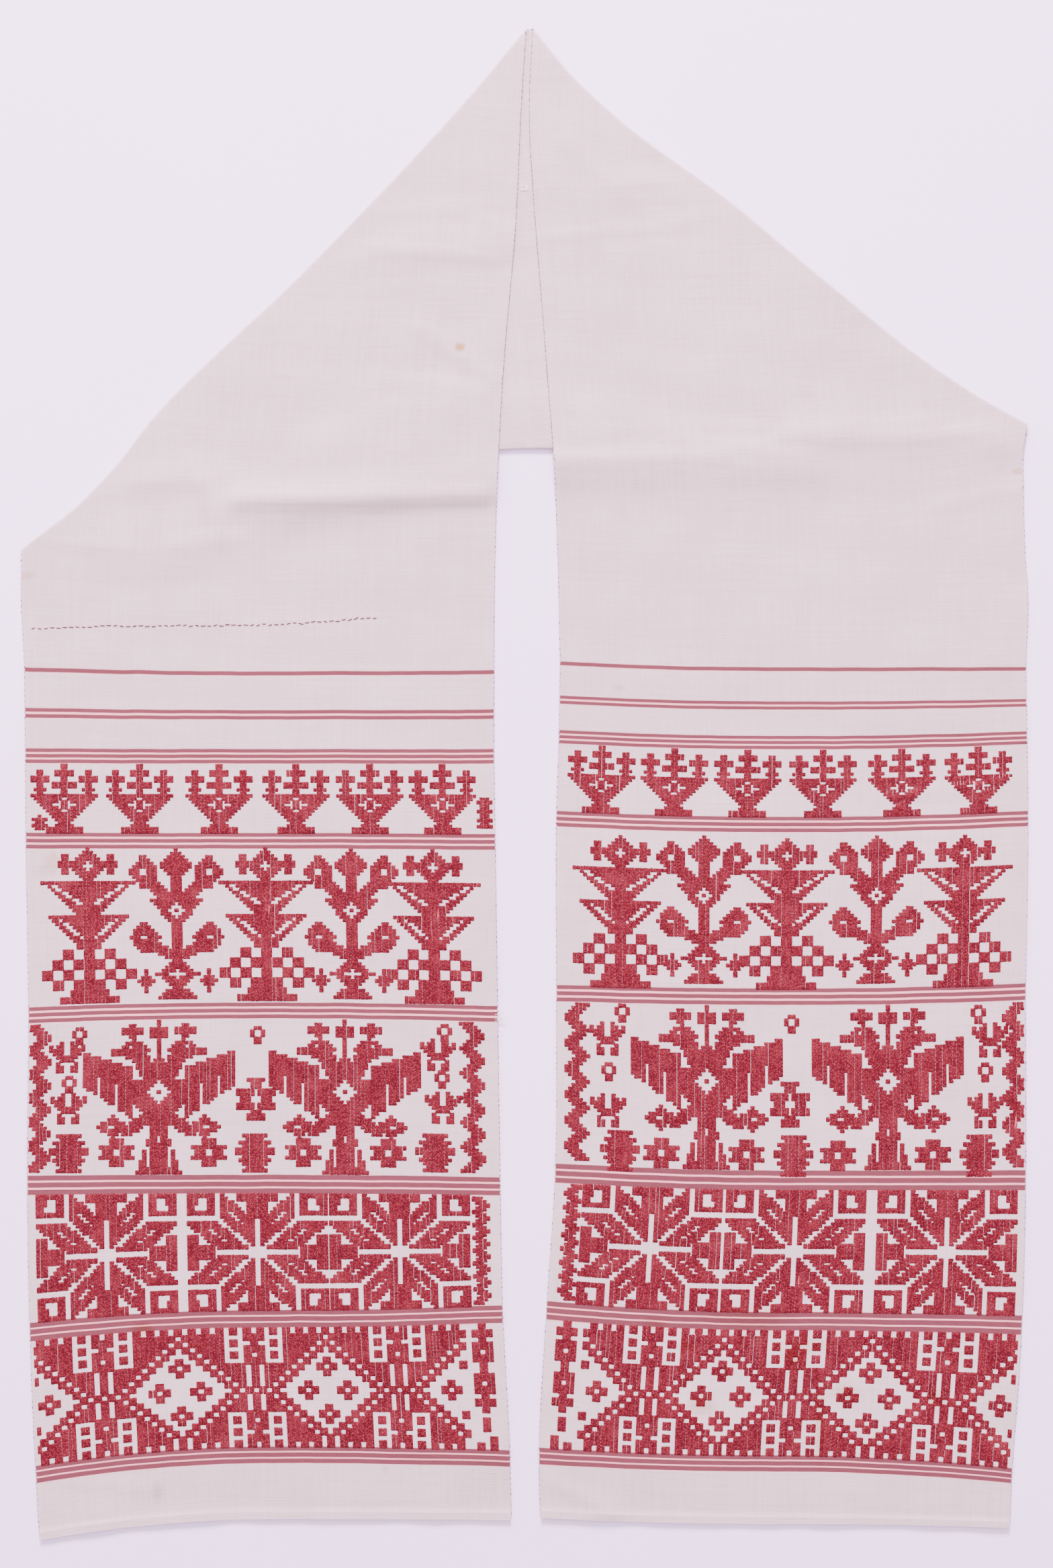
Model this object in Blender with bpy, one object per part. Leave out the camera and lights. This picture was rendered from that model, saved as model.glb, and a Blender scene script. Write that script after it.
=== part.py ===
"""A ritual towel: one long hand-woven strip, laid face up in its hanging shape.

The two decorated ends lie side by side as legs. Each leg folds over on a diagonal crease at its
top, so the plain middle of the cloth runs level behind both legs, reverse side up, and the inner
edges meet in a point. The lower margin of that hidden middle is turned under.

The cloth starts as a flat slab in its own coordinates (along, across, height), gets a line of
edges wherever it will bend, and is then folded by one function. Metres, +Z up; the part lies on
z = 0 with +Y towards the point and its origin under the middle of its box.
"""

import math

import bmesh
import bpy
import numpy as np

# The flat cloth. "Along" runs from the left hem to the right hem, "across" from the outer edge
# of the legs to the inner edge.
LENGTH = 2.450
WIDTH = 0.380
THICK = 0.0012
HEM_REACH = 0.006
HEM_SLOPE = 0.0015
HEM_EXTRA = 0.0012

# Stacked layers, middle to middle, and the radius of a bend between two of them.
LAYER_GAP = 0.0005
PITCH = THICK + LAYER_GAP
BEND = PITCH / 2
BEND_STEPS = 4

# Mesh of the flat slab.
CELLS_ALONG = 98
CELLS_ACROSS = 16

# The middle of the cloth as it lies: a straight strip between the two lower corners. The last
# step of the folding moves the box's middle, given here, to the origin.
LEFT_CORNER = np.array((-0.4040, 0.1905))
RIGHT_CORNER = np.array((0.4021, 0.2906))
BACK_WIDTH = 0.365
LEFT_CORNER_ALONG = 0.775
RIGHT_CORNER_ALONG = 1.575
LEFT_TIP_ALONG = 1.2220
RIGHT_TIP_ALONG = 1.2250
BOX_MIDDLE = np.array((-0.0010, 0.0011))

# The lower margin of the middle that is turned under: centre, half length and depth.
MARGIN_MIDDLE = 0.36
MARGIN_HALF = 0.28
MARGIN_DEPTH = 0.0345
MARGIN_SLOPE = 0.030
MARGIN_CLEAR = 0.005

# Where the legs come down from the middle of the cloth to the surface.
STEP_START = 0.010
STEP_RUN = 0.038

# Legs in mm: "up" is the distance from the hem along the cloth, outer and inner are where the
# edges lie, level is the height of the centre line, and the last two say how far the weft lines
# sag or rise at the edges.
LEG_COLUMNS = ("up", "outer_x", "inner_x", "level_y", "outer_sag", "inner_sag")
LEFT_LEG = (
    (0, -391, -12, -590, -17, -1),
    (50, -394, -13, -539, -16, -3),
    (160, -399, -19, -429, -11, 4),
    (270, -401, -21, -320, -1, -2),
    (408, -400, -23, -181, -4, -3),
    (545, -402, -25, -44, 0, -1),
    (614, -402, -26, 24, 0, 0),
    (681, -402, -26, 91, 2, 1),
)
RIGHT_LEG = (
    (0, 389, 12, -594, -3, 5),
    (50, 391, 11, -546, -10, 6),
    (160, 399, 17, -431, -3, 9),
    (270, 402, 24, -317, 0, 6),
    (408, 402, 25, -170, 4, 3),
    (545, 404, 25, -31, 5, 5),
    (614, 403, 27, 35, 4, 5),
    (681, 402, 28, 94, 0, 5),
)

# How far in mm each edge of a leg lies off a smooth curve between its last row and its crease.
SWAY_COLUMNS = ("share", "outer_dx", "inner_dx")
LEFT_SWAY = ((0, 0, 0), (0.3, 0, 0), (0.5, 0, 1), (0.75, 1, 4), (0.9, 1, 3), (1, 0, 0))
RIGHT_SWAY = ((0, 0, 0), (0.3, 0, -3), (0.5, -4, -7), (0.75, -6, -8), (0.9, -5, -5), (1, 0, 0))

# How far in mm each diagonal crease bows in, from its lower corner (0) to the point (1).
BOW_COLUMNS = ("share", "bow")
LEFT_BOW = ((0, 0), (0.1, 8), (0.16, 8), (0.27, 2), (0.37, 3), (0.5, 7), (0.65, 8), (0.88, 5), (1, 0))
RIGHT_BOW = ((0, 0), (0.1, 8), (0.2, 12), (0.35, 12), (0.6, 10), (0.8, 14), (0.92, 9), (1, 0))
BOW_REACH = 0.110

# Broad soft ridges in the legs, in mm: from one end to the other, height and half width.
RIDGE_COLUMNS = ("x0", "y0", "x1", "y1", "height", "half")
RIDGES = (
    (-234, 229, -20, 241, 3.0, 26),
    (-332, 255, -250, 250, 2.0, 24),
    (-140, 432, -18, 441, 2.0, 24),
    (22, 258, 215, 262, 2.5, 26),
    (218, 290, 390, 280, 2.5, 26),
    (96, 495, 160, 498, 1.5, 24),
)

LINEN = (0.72, 0.66, 0.65, 1.0)


def smooth_step(value):
    """Rises smoothly from 0 to 1 as the value goes from 0 to 1."""
    t = np.clip(value, 0.0, 1.0)
    return t * t * (3 - 2 * t)


def column(rows, names, name, at):
    """A smooth curve through one column of a table, read at places in its first column."""
    table = np.array(rows, float)
    x = table[:, 0]
    y = table[:, names.index(name)]
    slope = np.gradient(y, x)
    i = np.clip(np.searchsorted(x, at) - 1, 0, len(x) - 2)
    span = x[i + 1] - x[i]
    t = np.clip((at - x[i]) / span, 0.0, 1.0)
    start = y[i] + t * t * (3 - 2 * t) * (y[i + 1] - y[i])
    return start + span * t * (1 - t) * ((1 - t) * slope[i] - t * slope[i + 1])


def turned(vector):
    """The vector a quarter turn to the left."""
    return np.array((-vector[1], vector[0]))


BACK_RUN = RIGHT_CORNER - LEFT_CORNER
BACK_DIRECTION = BACK_RUN / np.linalg.norm(BACK_RUN)
BACK_UP = turned(BACK_DIRECTION)
BACK_STRETCH = np.linalg.norm(BACK_RUN) / (RIGHT_CORNER_ALONG - LEFT_CORNER_ALONG)


def back_plan(along, across):
    """Where the middle of the cloth lies, seen from above."""
    run = (along - LEFT_CORNER_ALONG) * BACK_STRETCH
    rise = (across / WIDTH + 0.5) * BACK_WIDTH
    return LEFT_CORNER + run[:, None] * BACK_DIRECTION + rise[:, None] * BACK_UP


def one_back_point(along, share):
    return back_plan(np.array((along,)), np.array(((share - 0.5) * WIDTH,)))[0]


class Leg:
    """One decorated end, from its hem up to its diagonal crease."""

    def __init__(self, sign, rows, sway, bow, corner_along, tip_along):
        self.sign = sign
        self.rows = rows
        self.sway = sway
        self.bow = bow
        self.hem_along = 0.0 if sign < 0 else LENGTH
        self.corner_along = corner_along
        self.tip_along = tip_along
        self.corner = one_back_point(corner_along, 0.0)
        self.tip = one_back_point(tip_along, 1.0)
        run = self.tip - self.corner
        self.crease_length = np.linalg.norm(run)
        self.crease = run / self.crease_length
        self.inward = turned(self.crease) * sign
        self.table_top = rows[-1][0] / 1000

    def crease_along(self, across):
        """Where the crease crosses the cloth."""
        share = across / WIDTH + 0.5
        return self.corner_along + (self.tip_along - self.corner_along) * share

    def beyond(self, along, across):
        """How far a place lies past the crease on this leg's side, along the cloth."""
        return self.sign * (along - self.crease_along(across))

    def table_plan(self, up, share):
        """Where the decorated part lies, from the leg's table."""
        mm = up * 1000
        outer_x = column(self.rows, LEG_COLUMNS, "outer_x", mm)
        inner_x = column(self.rows, LEG_COLUMNS, "inner_x", mm)
        level = column(self.rows, LEG_COLUMNS, "level_y", mm)
        outer_sag = column(self.rows, LEG_COLUMNS, "outer_sag", mm)
        inner_sag = column(self.rows, LEG_COLUMNS, "inner_sag", mm)
        x = outer_x + (inner_x - outer_x) * share
        y = level + outer_sag * np.clip(1 - 2 * share, 0, 1) ** 2
        y = y + inner_sag * np.clip(2 * share - 1, 0, 1) ** 2
        return np.stack((x, y), axis=1) / 1000

    def plan(self, along, across):
        """Where the whole leg lies: its table, then a smooth curve up to the crease."""
        share = across / WIDTH + 0.5
        up = np.abs(along - self.hem_along)
        crease_up = np.abs(self.crease_along(across) - self.hem_along)
        low = self.table_plan(np.minimum(up, self.table_top), share)
        top = self.corner + (self.tip - self.corner) * share[:, None]
        span = crease_up - self.table_top
        t = np.clip((up - self.table_top) / span, 0.0, 1.0)[:, None]
        straight = -self.sign * BACK_DIRECTION * BACK_STRETCH
        mirrored = 2 * (straight @ self.crease) * self.crease - straight
        start_slope = span[:, None] * np.array((0.0, 1.0))
        end_slope = span[:, None] * mirrored
        curve = (1 + 2 * t) * (1 - t) ** 2 * low + t * (1 - t) ** 2 * start_slope
        curve = curve + t * t * (3 - 2 * t) * top - t * t * (1 - t) * end_slope
        outer = column(self.sway, SWAY_COLUMNS, "outer_dx", t[:, 0])
        inner = column(self.sway, SWAY_COLUMNS, "inner_dx", t[:, 0])
        curve[:, 0] += (outer + (inner - outer) * share) / 1000
        return np.where((up > self.table_top)[:, None], curve, low)

    def depth(self, plan):
        """How far inside the crease line a place lies."""
        return (plan - self.corner) @ self.inward

    def bowed(self, plan):
        """Moves a place near the crease inwards, because the crease isn't straight."""
        share = np.clip((plan - self.corner) @ self.crease / self.crease_length, 0.0, 1.0)
        bow = column(self.bow, BOW_COLUMNS, "bow", share) / 1000
        fade = np.exp(-((self.depth(plan) / BOW_REACH) ** 2))
        return plan + (bow * fade)[:, None] * self.inward


LEGS = (
    Leg(-1, LEFT_LEG, LEFT_SWAY, LEFT_BOW, LEFT_CORNER_ALONG, LEFT_TIP_ALONG),
    Leg(1, RIGHT_LEG, RIGHT_SWAY, RIGHT_BOW, RIGHT_CORNER_ALONG, RIGHT_TIP_ALONG),
)


def margin_line(run):
    """How far up the strip the turned-under margin's crease lies, below 0 where there is none."""
    turn = (run - MARGIN_MIDDLE) / MARGIN_HALF
    line = MARGIN_DEPTH * np.cos(np.clip(turn, -1, 1) * math.pi / 2) ** 2
    return np.where(np.abs(turn) < 1, line, -BEND)


def on_strip(plan):
    """A place's distance along and up the straight strip of the middle."""
    return (plan - LEFT_CORNER) @ BACK_DIRECTION, (plan - LEFT_CORNER) @ BACK_UP


def margin_cover(plan):
    """1 above the turned-under margin, falling smoothly to 0 around it."""
    run, rise = on_strip(plan)
    ends = MARGIN_HALF + MARGIN_CLEAR + MARGIN_SLOPE - np.abs(run - MARGIN_MIDDLE)
    top = 2 * np.maximum(margin_line(run), 0.0) + MARGIN_CLEAR + MARGIN_SLOPE - rise
    return smooth_step(ends / MARGIN_SLOPE) * smooth_step(top / MARGIN_SLOPE)


def ridge_height(plan):
    """The soft ridges of the legs."""
    height = np.zeros(len(plan))
    for row in RIDGES:
        x0, y0, x1, y1, top, half = (value / 1000 for value in row)
        start = np.array((x0, y0))
        run = np.array((x1, y1)) - start
        share = np.clip((plan - start) @ run / (run @ run), 0.0, 1.0)
        away = np.linalg.norm(plan - start - share[:, None] * run, axis=1)
        height = np.maximum(height, top * smooth_step(1 - away / half))
    return height


def back_height(plan):
    return THICK / 2 + PITCH * margin_cover(plan)


def leg_height(plan):
    """Over the middle of the cloth, the legs lie on it; below it they come down to the surface."""
    run, rise = on_strip(plan)
    below = np.maximum(margin_line(run), 0.0) - rise
    on_back = 1 - smooth_step((below - STEP_START) / STEP_RUN)
    inside = np.minimum(LEGS[0].depth(plan), LEGS[1].depth(plan))
    ridges = ridge_height(plan) * smooth_step(inside / 0.03)
    return THICK / 2 + PITCH * (1 + margin_cover(plan)) * on_back + ridges


def fold(flat):
    """Maps points of the flat cloth (along, across, height over its middle plane) to the part."""
    along, across, height = flat.T
    plan = back_plan(along, across)
    run, rise = on_strip(plan)

    # The turned-under margin rolls round the edge of the middle, which lies face down.
    rolled = np.maximum(margin_line(run) - rise, 0.0)
    angle = np.minimum(rolled / BEND, math.pi)
    flat_part = np.maximum(rolled - math.pi * BEND, 0.0)
    margin = rolled > 0
    shift = rolled - (BEND - height) * np.sin(angle) + flat_part
    plan = plan + np.where(margin, shift, 0.0)[:, None] * BACK_UP
    z = back_height(plan) - height
    z = np.where(margin, back_height(plan) - BEND + (BEND - height) * np.cos(angle), z)

    # Each leg rolls over its crease and lies face up on the middle.
    for leg in LEGS:
        is_leg = leg.beyond(along, across) > 0
        leg_plan = leg.plan(along, across)
        depth = np.maximum(leg.depth(leg_plan), 0.0)
        angle = np.minimum(depth / BEND, math.pi)
        fade = np.exp(-((depth / BOW_REACH) ** 2))
        lying = depth - math.pi * BEND * fade
        inside = np.where(angle < math.pi, -(BEND + height) * np.sin(angle), lying)
        leg_plan = leg_plan + (inside - depth)[:, None] * leg.inward
        leg_z = leg_height(leg_plan) - BEND - (BEND + height) * np.cos(angle)
        plan = np.where(is_leg[:, None], leg_plan, plan)
        z = np.where(is_leg, leg_z, z)
    for leg in LEGS:
        plan = leg.bowed(plan)
    return np.column_stack((plan - BOX_MIDDLE, z))


def cut(bm, start, end, faces=None):
    """Adds a line of edges across the flat slab through two of its places."""
    chosen = bm.faces[:] if faces is None else faces
    edges = {edge for face in chosen for edge in face.edges}
    verts = {vert for face in chosen for vert in face.verts}
    line = np.array(end) - np.array(start)
    bmesh.ops.bisect_plane(
        bm,
        geom=list(chosen) + list(edges) + list(verts),
        dist=1e-6,
        plane_co=(start[0], start[1], 0.0),
        plane_no=(line[1], -line[0], 0.0),
    )


def cut_leg_bends(bm):
    """Edges along each diagonal crease, one for each step of the bend."""
    for leg in LEGS:
        slope = leg.crease @ BACK_DIRECTION / (leg.crease @ BACK_UP)
        across_crease = math.cos(math.atan(slope)) * BACK_STRETCH
        for step in range(BEND_STEPS + 1):
            past = leg.sign * math.pi * BEND * step / BEND_STEPS / across_crease
            start = (leg.corner_along + past, -WIDTH / 2)
            end = (leg.tip_along + past, WIDTH / 2)
            cut(bm, start, end)


def cut_margin_bend(bm):
    """Edges along the curved crease of the turned-under margin, one column of cells at a time."""
    cell = LENGTH / CELLS_ALONG
    for index in range(CELLS_ALONG):
        left = index * cell
        right = left + cell
        runs = (np.array((left, right)) - LEFT_CORNER_ALONG) * BACK_STRETCH
        lines = margin_line(runs)
        if lines.max() <= 0:
            continue
        lines = np.maximum(lines, 0.0)
        for step in range(BEND_STEPS + 1):
            levels = (lines - math.pi * BEND * step / BEND_STEPS) * WIDTH / BACK_WIDTH
            if levels.max() <= 0:
                break
            faces = [f for f in bm.faces if left < f.calc_center_median().x < right]
            cut(bm, (left, levels[0] - WIDTH / 2), (right, levels[1] - WIDTH / 2), faces)


def flat_slab():
    """The cloth before folding: a closed slab with edges where it will bend."""
    bm = bmesh.new()
    bmesh.ops.create_grid(bm, x_segments=CELLS_ALONG, y_segments=CELLS_ACROSS, size=0.5)
    for vert in bm.verts:
        vert.co.x = (vert.co.x + 0.5) * LENGTH
        vert.co.y *= WIDTH
    cut_margin_bend(bm)
    cut_leg_bends(bm)
    for place in (HEM_REACH, HEM_REACH + HEM_SLOPE):
        for along in (place, LENGTH - place):
            cut(bm, (along, -WIDTH / 2), (along, WIDTH / 2))
    bmesh.ops.triangulate(bm, faces=bm.faces[:])
    for vert in bm.verts:
        vert.co.z = -THICK / 2
    top = bmesh.ops.extrude_face_region(bm, geom=bm.faces[:])
    for vert in top["geom"]:
        if isinstance(vert, bmesh.types.BMVert):
            end = min(vert.co.x, LENGTH - vert.co.x)
            roll = 1 - smooth_step((end - HEM_REACH) / HEM_SLOPE)
            vert.co.z = THICK / 2 + HEM_EXTRA * float(roll)
    bmesh.ops.recalc_face_normals(bm, faces=bm.faces[:])
    return bm


def linen():
    material = bpy.data.materials.new("linen")
    material.use_nodes = True
    shader = material.node_tree.nodes["Principled BSDF"]
    shader.inputs["Base Color"].default_value = LINEN
    shader.inputs["Roughness"].default_value = 0.9
    shader.inputs["Metallic"].default_value = 0.0
    return material


def towel():
    bm = flat_slab()
    flat = np.array([vert.co[:] for vert in bm.verts])
    for vert, place in zip(bm.verts, fold(flat)):
        vert.co = place
    bmesh.ops.recalc_face_normals(bm, faces=bm.faces[:])
    mesh = bpy.data.meshes.new("towel")
    bm.to_mesh(mesh)
    bm.free()
    mesh.materials.append(linen())
    towel_object = bpy.data.objects.new("towel", mesh)
    bpy.context.collection.objects.link(towel_object)
    return towel_object


for old in list(bpy.data.objects):
    bpy.data.objects.remove(old)
towel()
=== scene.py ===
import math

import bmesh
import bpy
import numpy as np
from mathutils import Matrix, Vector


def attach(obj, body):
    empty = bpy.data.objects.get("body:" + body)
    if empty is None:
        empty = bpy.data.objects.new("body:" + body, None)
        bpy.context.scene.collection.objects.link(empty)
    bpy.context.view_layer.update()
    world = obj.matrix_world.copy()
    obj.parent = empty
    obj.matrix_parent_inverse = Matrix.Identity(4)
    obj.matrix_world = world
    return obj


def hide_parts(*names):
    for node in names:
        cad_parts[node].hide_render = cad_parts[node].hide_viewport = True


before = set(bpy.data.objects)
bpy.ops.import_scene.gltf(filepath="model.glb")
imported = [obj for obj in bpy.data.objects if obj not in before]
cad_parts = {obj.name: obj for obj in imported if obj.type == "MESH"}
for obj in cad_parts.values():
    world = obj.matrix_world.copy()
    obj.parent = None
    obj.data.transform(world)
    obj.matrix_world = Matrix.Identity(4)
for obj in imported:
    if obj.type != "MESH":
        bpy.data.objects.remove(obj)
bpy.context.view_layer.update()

# %% [markdown]
# # A woven ritual towel
# The real object is one long strip of cotton and linen, woven on a hand loom. Both ends carry
# bands of red weft: narrow twill stripes, and between them rows of figures laid in with a thick
# soft red yarn. It is folded so that the two decorated ends hang side by side like legs.
# This lesson folds one fine sheet of cloth, lays the thick yarn on it rib by rib from weavers'
# charts, and gives each kind of thread its own finish.

# %% [markdown]
# ## The cloth before it is folded
# A textile is easiest to think about flat. Every place on it gets three numbers: the distance
# *along* the strip from the left hem, the distance *across* it from its middle line, and the
# *height* over its middle plane. One function then folds all three into the lying shape, so the
# cloth, the raised yarn and the loose threads all use the same fold.

# %% The flat cloth and its layers
LENGTH = 2.450
WIDTH = 0.380
THICK = 0.0012
HEM_REACH = 0.006
HEM_SLOPE = 0.0015
HEM_EXTRA = 0.0012
LAYER_GAP = 0.0005
PITCH = THICK + LAYER_GAP
BEND = PITCH / 2
BEND_STEPS = 4

# %% The middle of the cloth, a level strip behind the legs
LEFT_CORNER = np.array((-0.4040, 0.1905))
RIGHT_CORNER = np.array((0.4021, 0.2906))
BACK_WIDTH = 0.365
LEFT_CORNER_ALONG = 0.775
RIGHT_CORNER_ALONG = 1.575
LEFT_TIP_ALONG = 1.2220
RIGHT_TIP_ALONG = 1.2250
BOX_MIDDLE = np.array((-0.0010, 0.0011))

# %% The margin that is turned under, and the step down from the middle
MARGIN_MIDDLE = 0.36
MARGIN_HALF = 0.28
MARGIN_DEPTH = 0.0345
MARGIN_SLOPE = 0.030
MARGIN_CLEAR = 0.005
STEP_START = 0.010
STEP_RUN = 0.038

# %% [markdown]
# The legs aren't straight: handling has pulled their edges about. Each row below gives, in
# millimetres, the distance up from the hem, where both edges lie, the height of the centre line
# and how far the weft lines sag towards the edges. The sway and bow rows do the same for the
# stretch above the pattern and for the diagonal creases.

# %% Where the legs lie
LEG_COLUMNS = ("up", "outer_x", "inner_x", "level_y", "outer_sag", "inner_sag")
LEFT_LEG = (
    (0, -391, -12, -590, -17, -1),
    (50, -394, -13, -539, -16, -3),
    (160, -399, -19, -429, -11, 4),
    (270, -401, -21, -320, -1, -2),
    (408, -400, -23, -181, -4, -3),
    (545, -402, -25, -44, 0, -1),
    (614, -402, -26, 24, 0, 0),
    (681, -402, -26, 91, 2, 1),
)
RIGHT_LEG = (
    (0, 389, 12, -594, -3, 5),
    (50, 391, 11, -546, -10, 6),
    (160, 399, 17, -431, -3, 9),
    (270, 402, 24, -317, 0, 6),
    (408, 402, 25, -170, 4, 3),
    (545, 404, 25, -31, 5, 5),
    (614, 403, 27, 35, 4, 5),
    (681, 402, 28, 94, 0, 5),
)
SWAY_COLUMNS = ("share", "outer_dx", "inner_dx")
LEFT_SWAY = ((0, 0, 0), (0.3, 0, 0), (0.5, 0, 1), (0.75, 1, 4), (0.9, 1, 3), (1, 0, 0))
RIGHT_SWAY = ((0, 0, 0), (0.3, 0, -3), (0.5, -4, -7), (0.75, -6, -8), (0.9, -5, -5), (1, 0, 0))
BOW_COLUMNS = ("share", "bow")
LEFT_BOW = ((0, 0), (0.1, 8), (0.16, 8), (0.27, 2), (0.37, 3), (0.5, 7), (0.65, 8), (0.88, 5), (1, 0))
RIGHT_BOW = ((0, 0), (0.1, 8), (0.2, 12), (0.35, 12), (0.6, 10), (0.8, 14), (0.92, 9), (1, 0))
BOW_REACH = 0.110

# %% [markdown]
# Cloth keeps the memory of how it was stored. The broad ridges are in the solid model; the fine
# creases are added here, each as a soft trough or ridge from one end to the other with its own
# height and half width. Ridges catch the light along one side, which is how a crease shows.

# %% Ridges and fine creases
CREASE_GAIN = 1.9
# Columns: x0, y0, x1, y1, height, half.
RIDGES = (
    (-234, 229, -20, 241, 3.0, 26),
    (-332, 255, -250, 250, 2.0, 24),
    (-140, 432, -18, 441, 2.0, 24),
    (22, 258, 215, 262, 2.5, 26),
    (218, 290, 390, 280, 2.5, 26),
    (96, 495, 160, 498, 1.5, 24),
)
FINE_CREASES = (
    (-232, 231, -34, 234, 1.9, 11),
    (-336, 250, -262, 246, 0.7, 8),
    (-272, 262, -248, 206, 1.0, 7),
    (-262, 250, -240, 190, 0.7, 7),
    (-390, 199, -320, 196, 0.6, 7),
    (-290, 198, -230, 200, 0.7, 9),
    (-132, 439, -22, 427, 0.9, 6),
    (-60, 466, -8, 452, 0.5, 5),
    (-90, 372, -24, 327, 0.8, 10),
    (-120, 330, -34, 318, 0.5, 9),
    (-128, 468, -40, 472, 0.5, 8),
    (22, 262, 160, 266, 0.9, 8),
    (120, 279, 232, 270, 0.6, 6),
    (200, 282, 396, 290, 0.9, 6),
    (215, 289, 330, 300, 0.5, 7),
    (30, 283, 190, 290, 0.4, 6),
    (14, 446, 158, 463, 0.7, 5),
    (118, 497, 168, 496, 1.1, 6),
    (158, 490, 190, 462, 0.6, 6),
    (86, 494, 128, 500, 0.6, 7),
    (40, 528, 90, 480, 0.7, 12),
    (-60, 548, -110, 500, 0.7, 12),
    (300, 352, 360, 330, 0.4, 7),
    (60, 215, 60, 120, 0.3, 9),
    (-95, 330, -62, 240, 0.3, 9),
    (330, 226, 398, 240, 0.6, 6),
    (-238, 180, -238, 60, 0.3, 8),
    (280, -12, 398, 6, 0.5, 5),
    (20, -560, 70, -585, 0.8, 9),
    (-388, -556, -300, -566, 0.5, 8),
)

# %% [markdown]
# ## Folding
# The back strip lies level with its reverse side up. Each leg rolls over a diagonal crease and
# comes down face up; a narrow margin of the strip is rolled under. Rolling means that a point
# travels round a half circle of the bend's radius before it lies flat again.

# %% Small curve helpers
def smooth_step(value):
    """Rises smoothly from 0 to 1 as the value goes from 0 to 1."""
    t = np.clip(value, 0.0, 1.0)
    return t * t * (3 - 2 * t)


def column(rows, names, name, at):
    """A smooth curve through one column of a table, read at places in its first column."""
    table = np.array(rows, float)
    x = table[:, 0]
    y = table[:, names.index(name)]
    slope = np.gradient(y, x)
    i = np.clip(np.searchsorted(x, at) - 1, 0, len(x) - 2)
    span = x[i + 1] - x[i]
    t = np.clip((at - x[i]) / span, 0.0, 1.0)
    start = y[i] + t * t * (3 - 2 * t) * (y[i + 1] - y[i])
    return start + span * t * (1 - t) * ((1 - t) * slope[i] - t * slope[i + 1])


def turned(vector):
    """The vector a quarter turn to the left."""
    return np.array((-vector[1], vector[0]))


# %% The middle strip seen from above
BACK_RUN = RIGHT_CORNER - LEFT_CORNER
BACK_DIRECTION = BACK_RUN / np.linalg.norm(BACK_RUN)
BACK_UP = turned(BACK_DIRECTION)
BACK_STRETCH = np.linalg.norm(BACK_RUN) / (RIGHT_CORNER_ALONG - LEFT_CORNER_ALONG)


def back_plan(along, across):
    run = (along - LEFT_CORNER_ALONG) * BACK_STRETCH
    rise = (across / WIDTH + 0.5) * BACK_WIDTH
    return LEFT_CORNER + run[:, None] * BACK_DIRECTION + rise[:, None] * BACK_UP


def one_back_point(along, share):
    return back_plan(np.array((along,)), np.array(((share - 0.5) * WIDTH,)))[0]


# %% One leg, from its hem up to its diagonal crease
class Leg:
    def __init__(self, sign, rows, sway, bow, corner_along, tip_along):
        self.sign = sign
        self.rows = rows
        self.sway = sway
        self.bow = bow
        self.hem_along = 0.0 if sign < 0 else LENGTH
        self.corner_along = corner_along
        self.tip_along = tip_along
        self.corner = one_back_point(corner_along, 0.0)
        self.tip = one_back_point(tip_along, 1.0)
        run = self.tip - self.corner
        self.crease_length = np.linalg.norm(run)
        self.crease = run / self.crease_length
        self.inward = turned(self.crease) * sign
        self.table_top = rows[-1][0] / 1000

    def along_of(self, up):
        """The place along the whole strip that lies this far up from the leg's hem."""
        return self.hem_along - self.sign * up

    def crease_along(self, across):
        share = across / WIDTH + 0.5
        return self.corner_along + (self.tip_along - self.corner_along) * share

    def beyond(self, along, across):
        return self.sign * (along - self.crease_along(across))

    def table_plan(self, up, share):
        mm = up * 1000
        outer_x = column(self.rows, LEG_COLUMNS, "outer_x", mm)
        inner_x = column(self.rows, LEG_COLUMNS, "inner_x", mm)
        level = column(self.rows, LEG_COLUMNS, "level_y", mm)
        outer_sag = column(self.rows, LEG_COLUMNS, "outer_sag", mm)
        inner_sag = column(self.rows, LEG_COLUMNS, "inner_sag", mm)
        x = outer_x + (inner_x - outer_x) * share
        y = level + outer_sag * np.clip(1 - 2 * share, 0, 1) ** 2
        y = y + inner_sag * np.clip(2 * share - 1, 0, 1) ** 2
        return np.stack((x, y), axis=1) / 1000

    def plan(self, along, across):
        share = across / WIDTH + 0.5
        up = np.abs(along - self.hem_along)
        crease_up = np.abs(self.crease_along(across) - self.hem_along)
        low = self.table_plan(np.minimum(up, self.table_top), share)
        top = self.corner + (self.tip - self.corner) * share[:, None]
        span = crease_up - self.table_top
        t = np.clip((up - self.table_top) / span, 0.0, 1.0)[:, None]
        straight = -self.sign * BACK_DIRECTION * BACK_STRETCH
        mirrored = 2 * (straight @ self.crease) * self.crease - straight
        start_slope = span[:, None] * np.array((0.0, 1.0))
        end_slope = span[:, None] * mirrored
        curve = (1 + 2 * t) * (1 - t) ** 2 * low + t * (1 - t) ** 2 * start_slope
        curve = curve + t * t * (3 - 2 * t) * top - t * t * (1 - t) * end_slope
        outer = column(self.sway, SWAY_COLUMNS, "outer_dx", t[:, 0])
        inner = column(self.sway, SWAY_COLUMNS, "inner_dx", t[:, 0])
        curve[:, 0] += (outer + (inner - outer) * share) / 1000
        return np.where((up > self.table_top)[:, None], curve, low)

    def depth(self, plan):
        return (plan - self.corner) @ self.inward

    def bowed(self, plan):
        share = np.clip((plan - self.corner) @ self.crease / self.crease_length, 0.0, 1.0)
        bow = column(self.bow, BOW_COLUMNS, "bow", share) / 1000
        fade = np.exp(-((self.depth(plan) / BOW_REACH) ** 2))
        return plan + (bow * fade)[:, None] * self.inward


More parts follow.
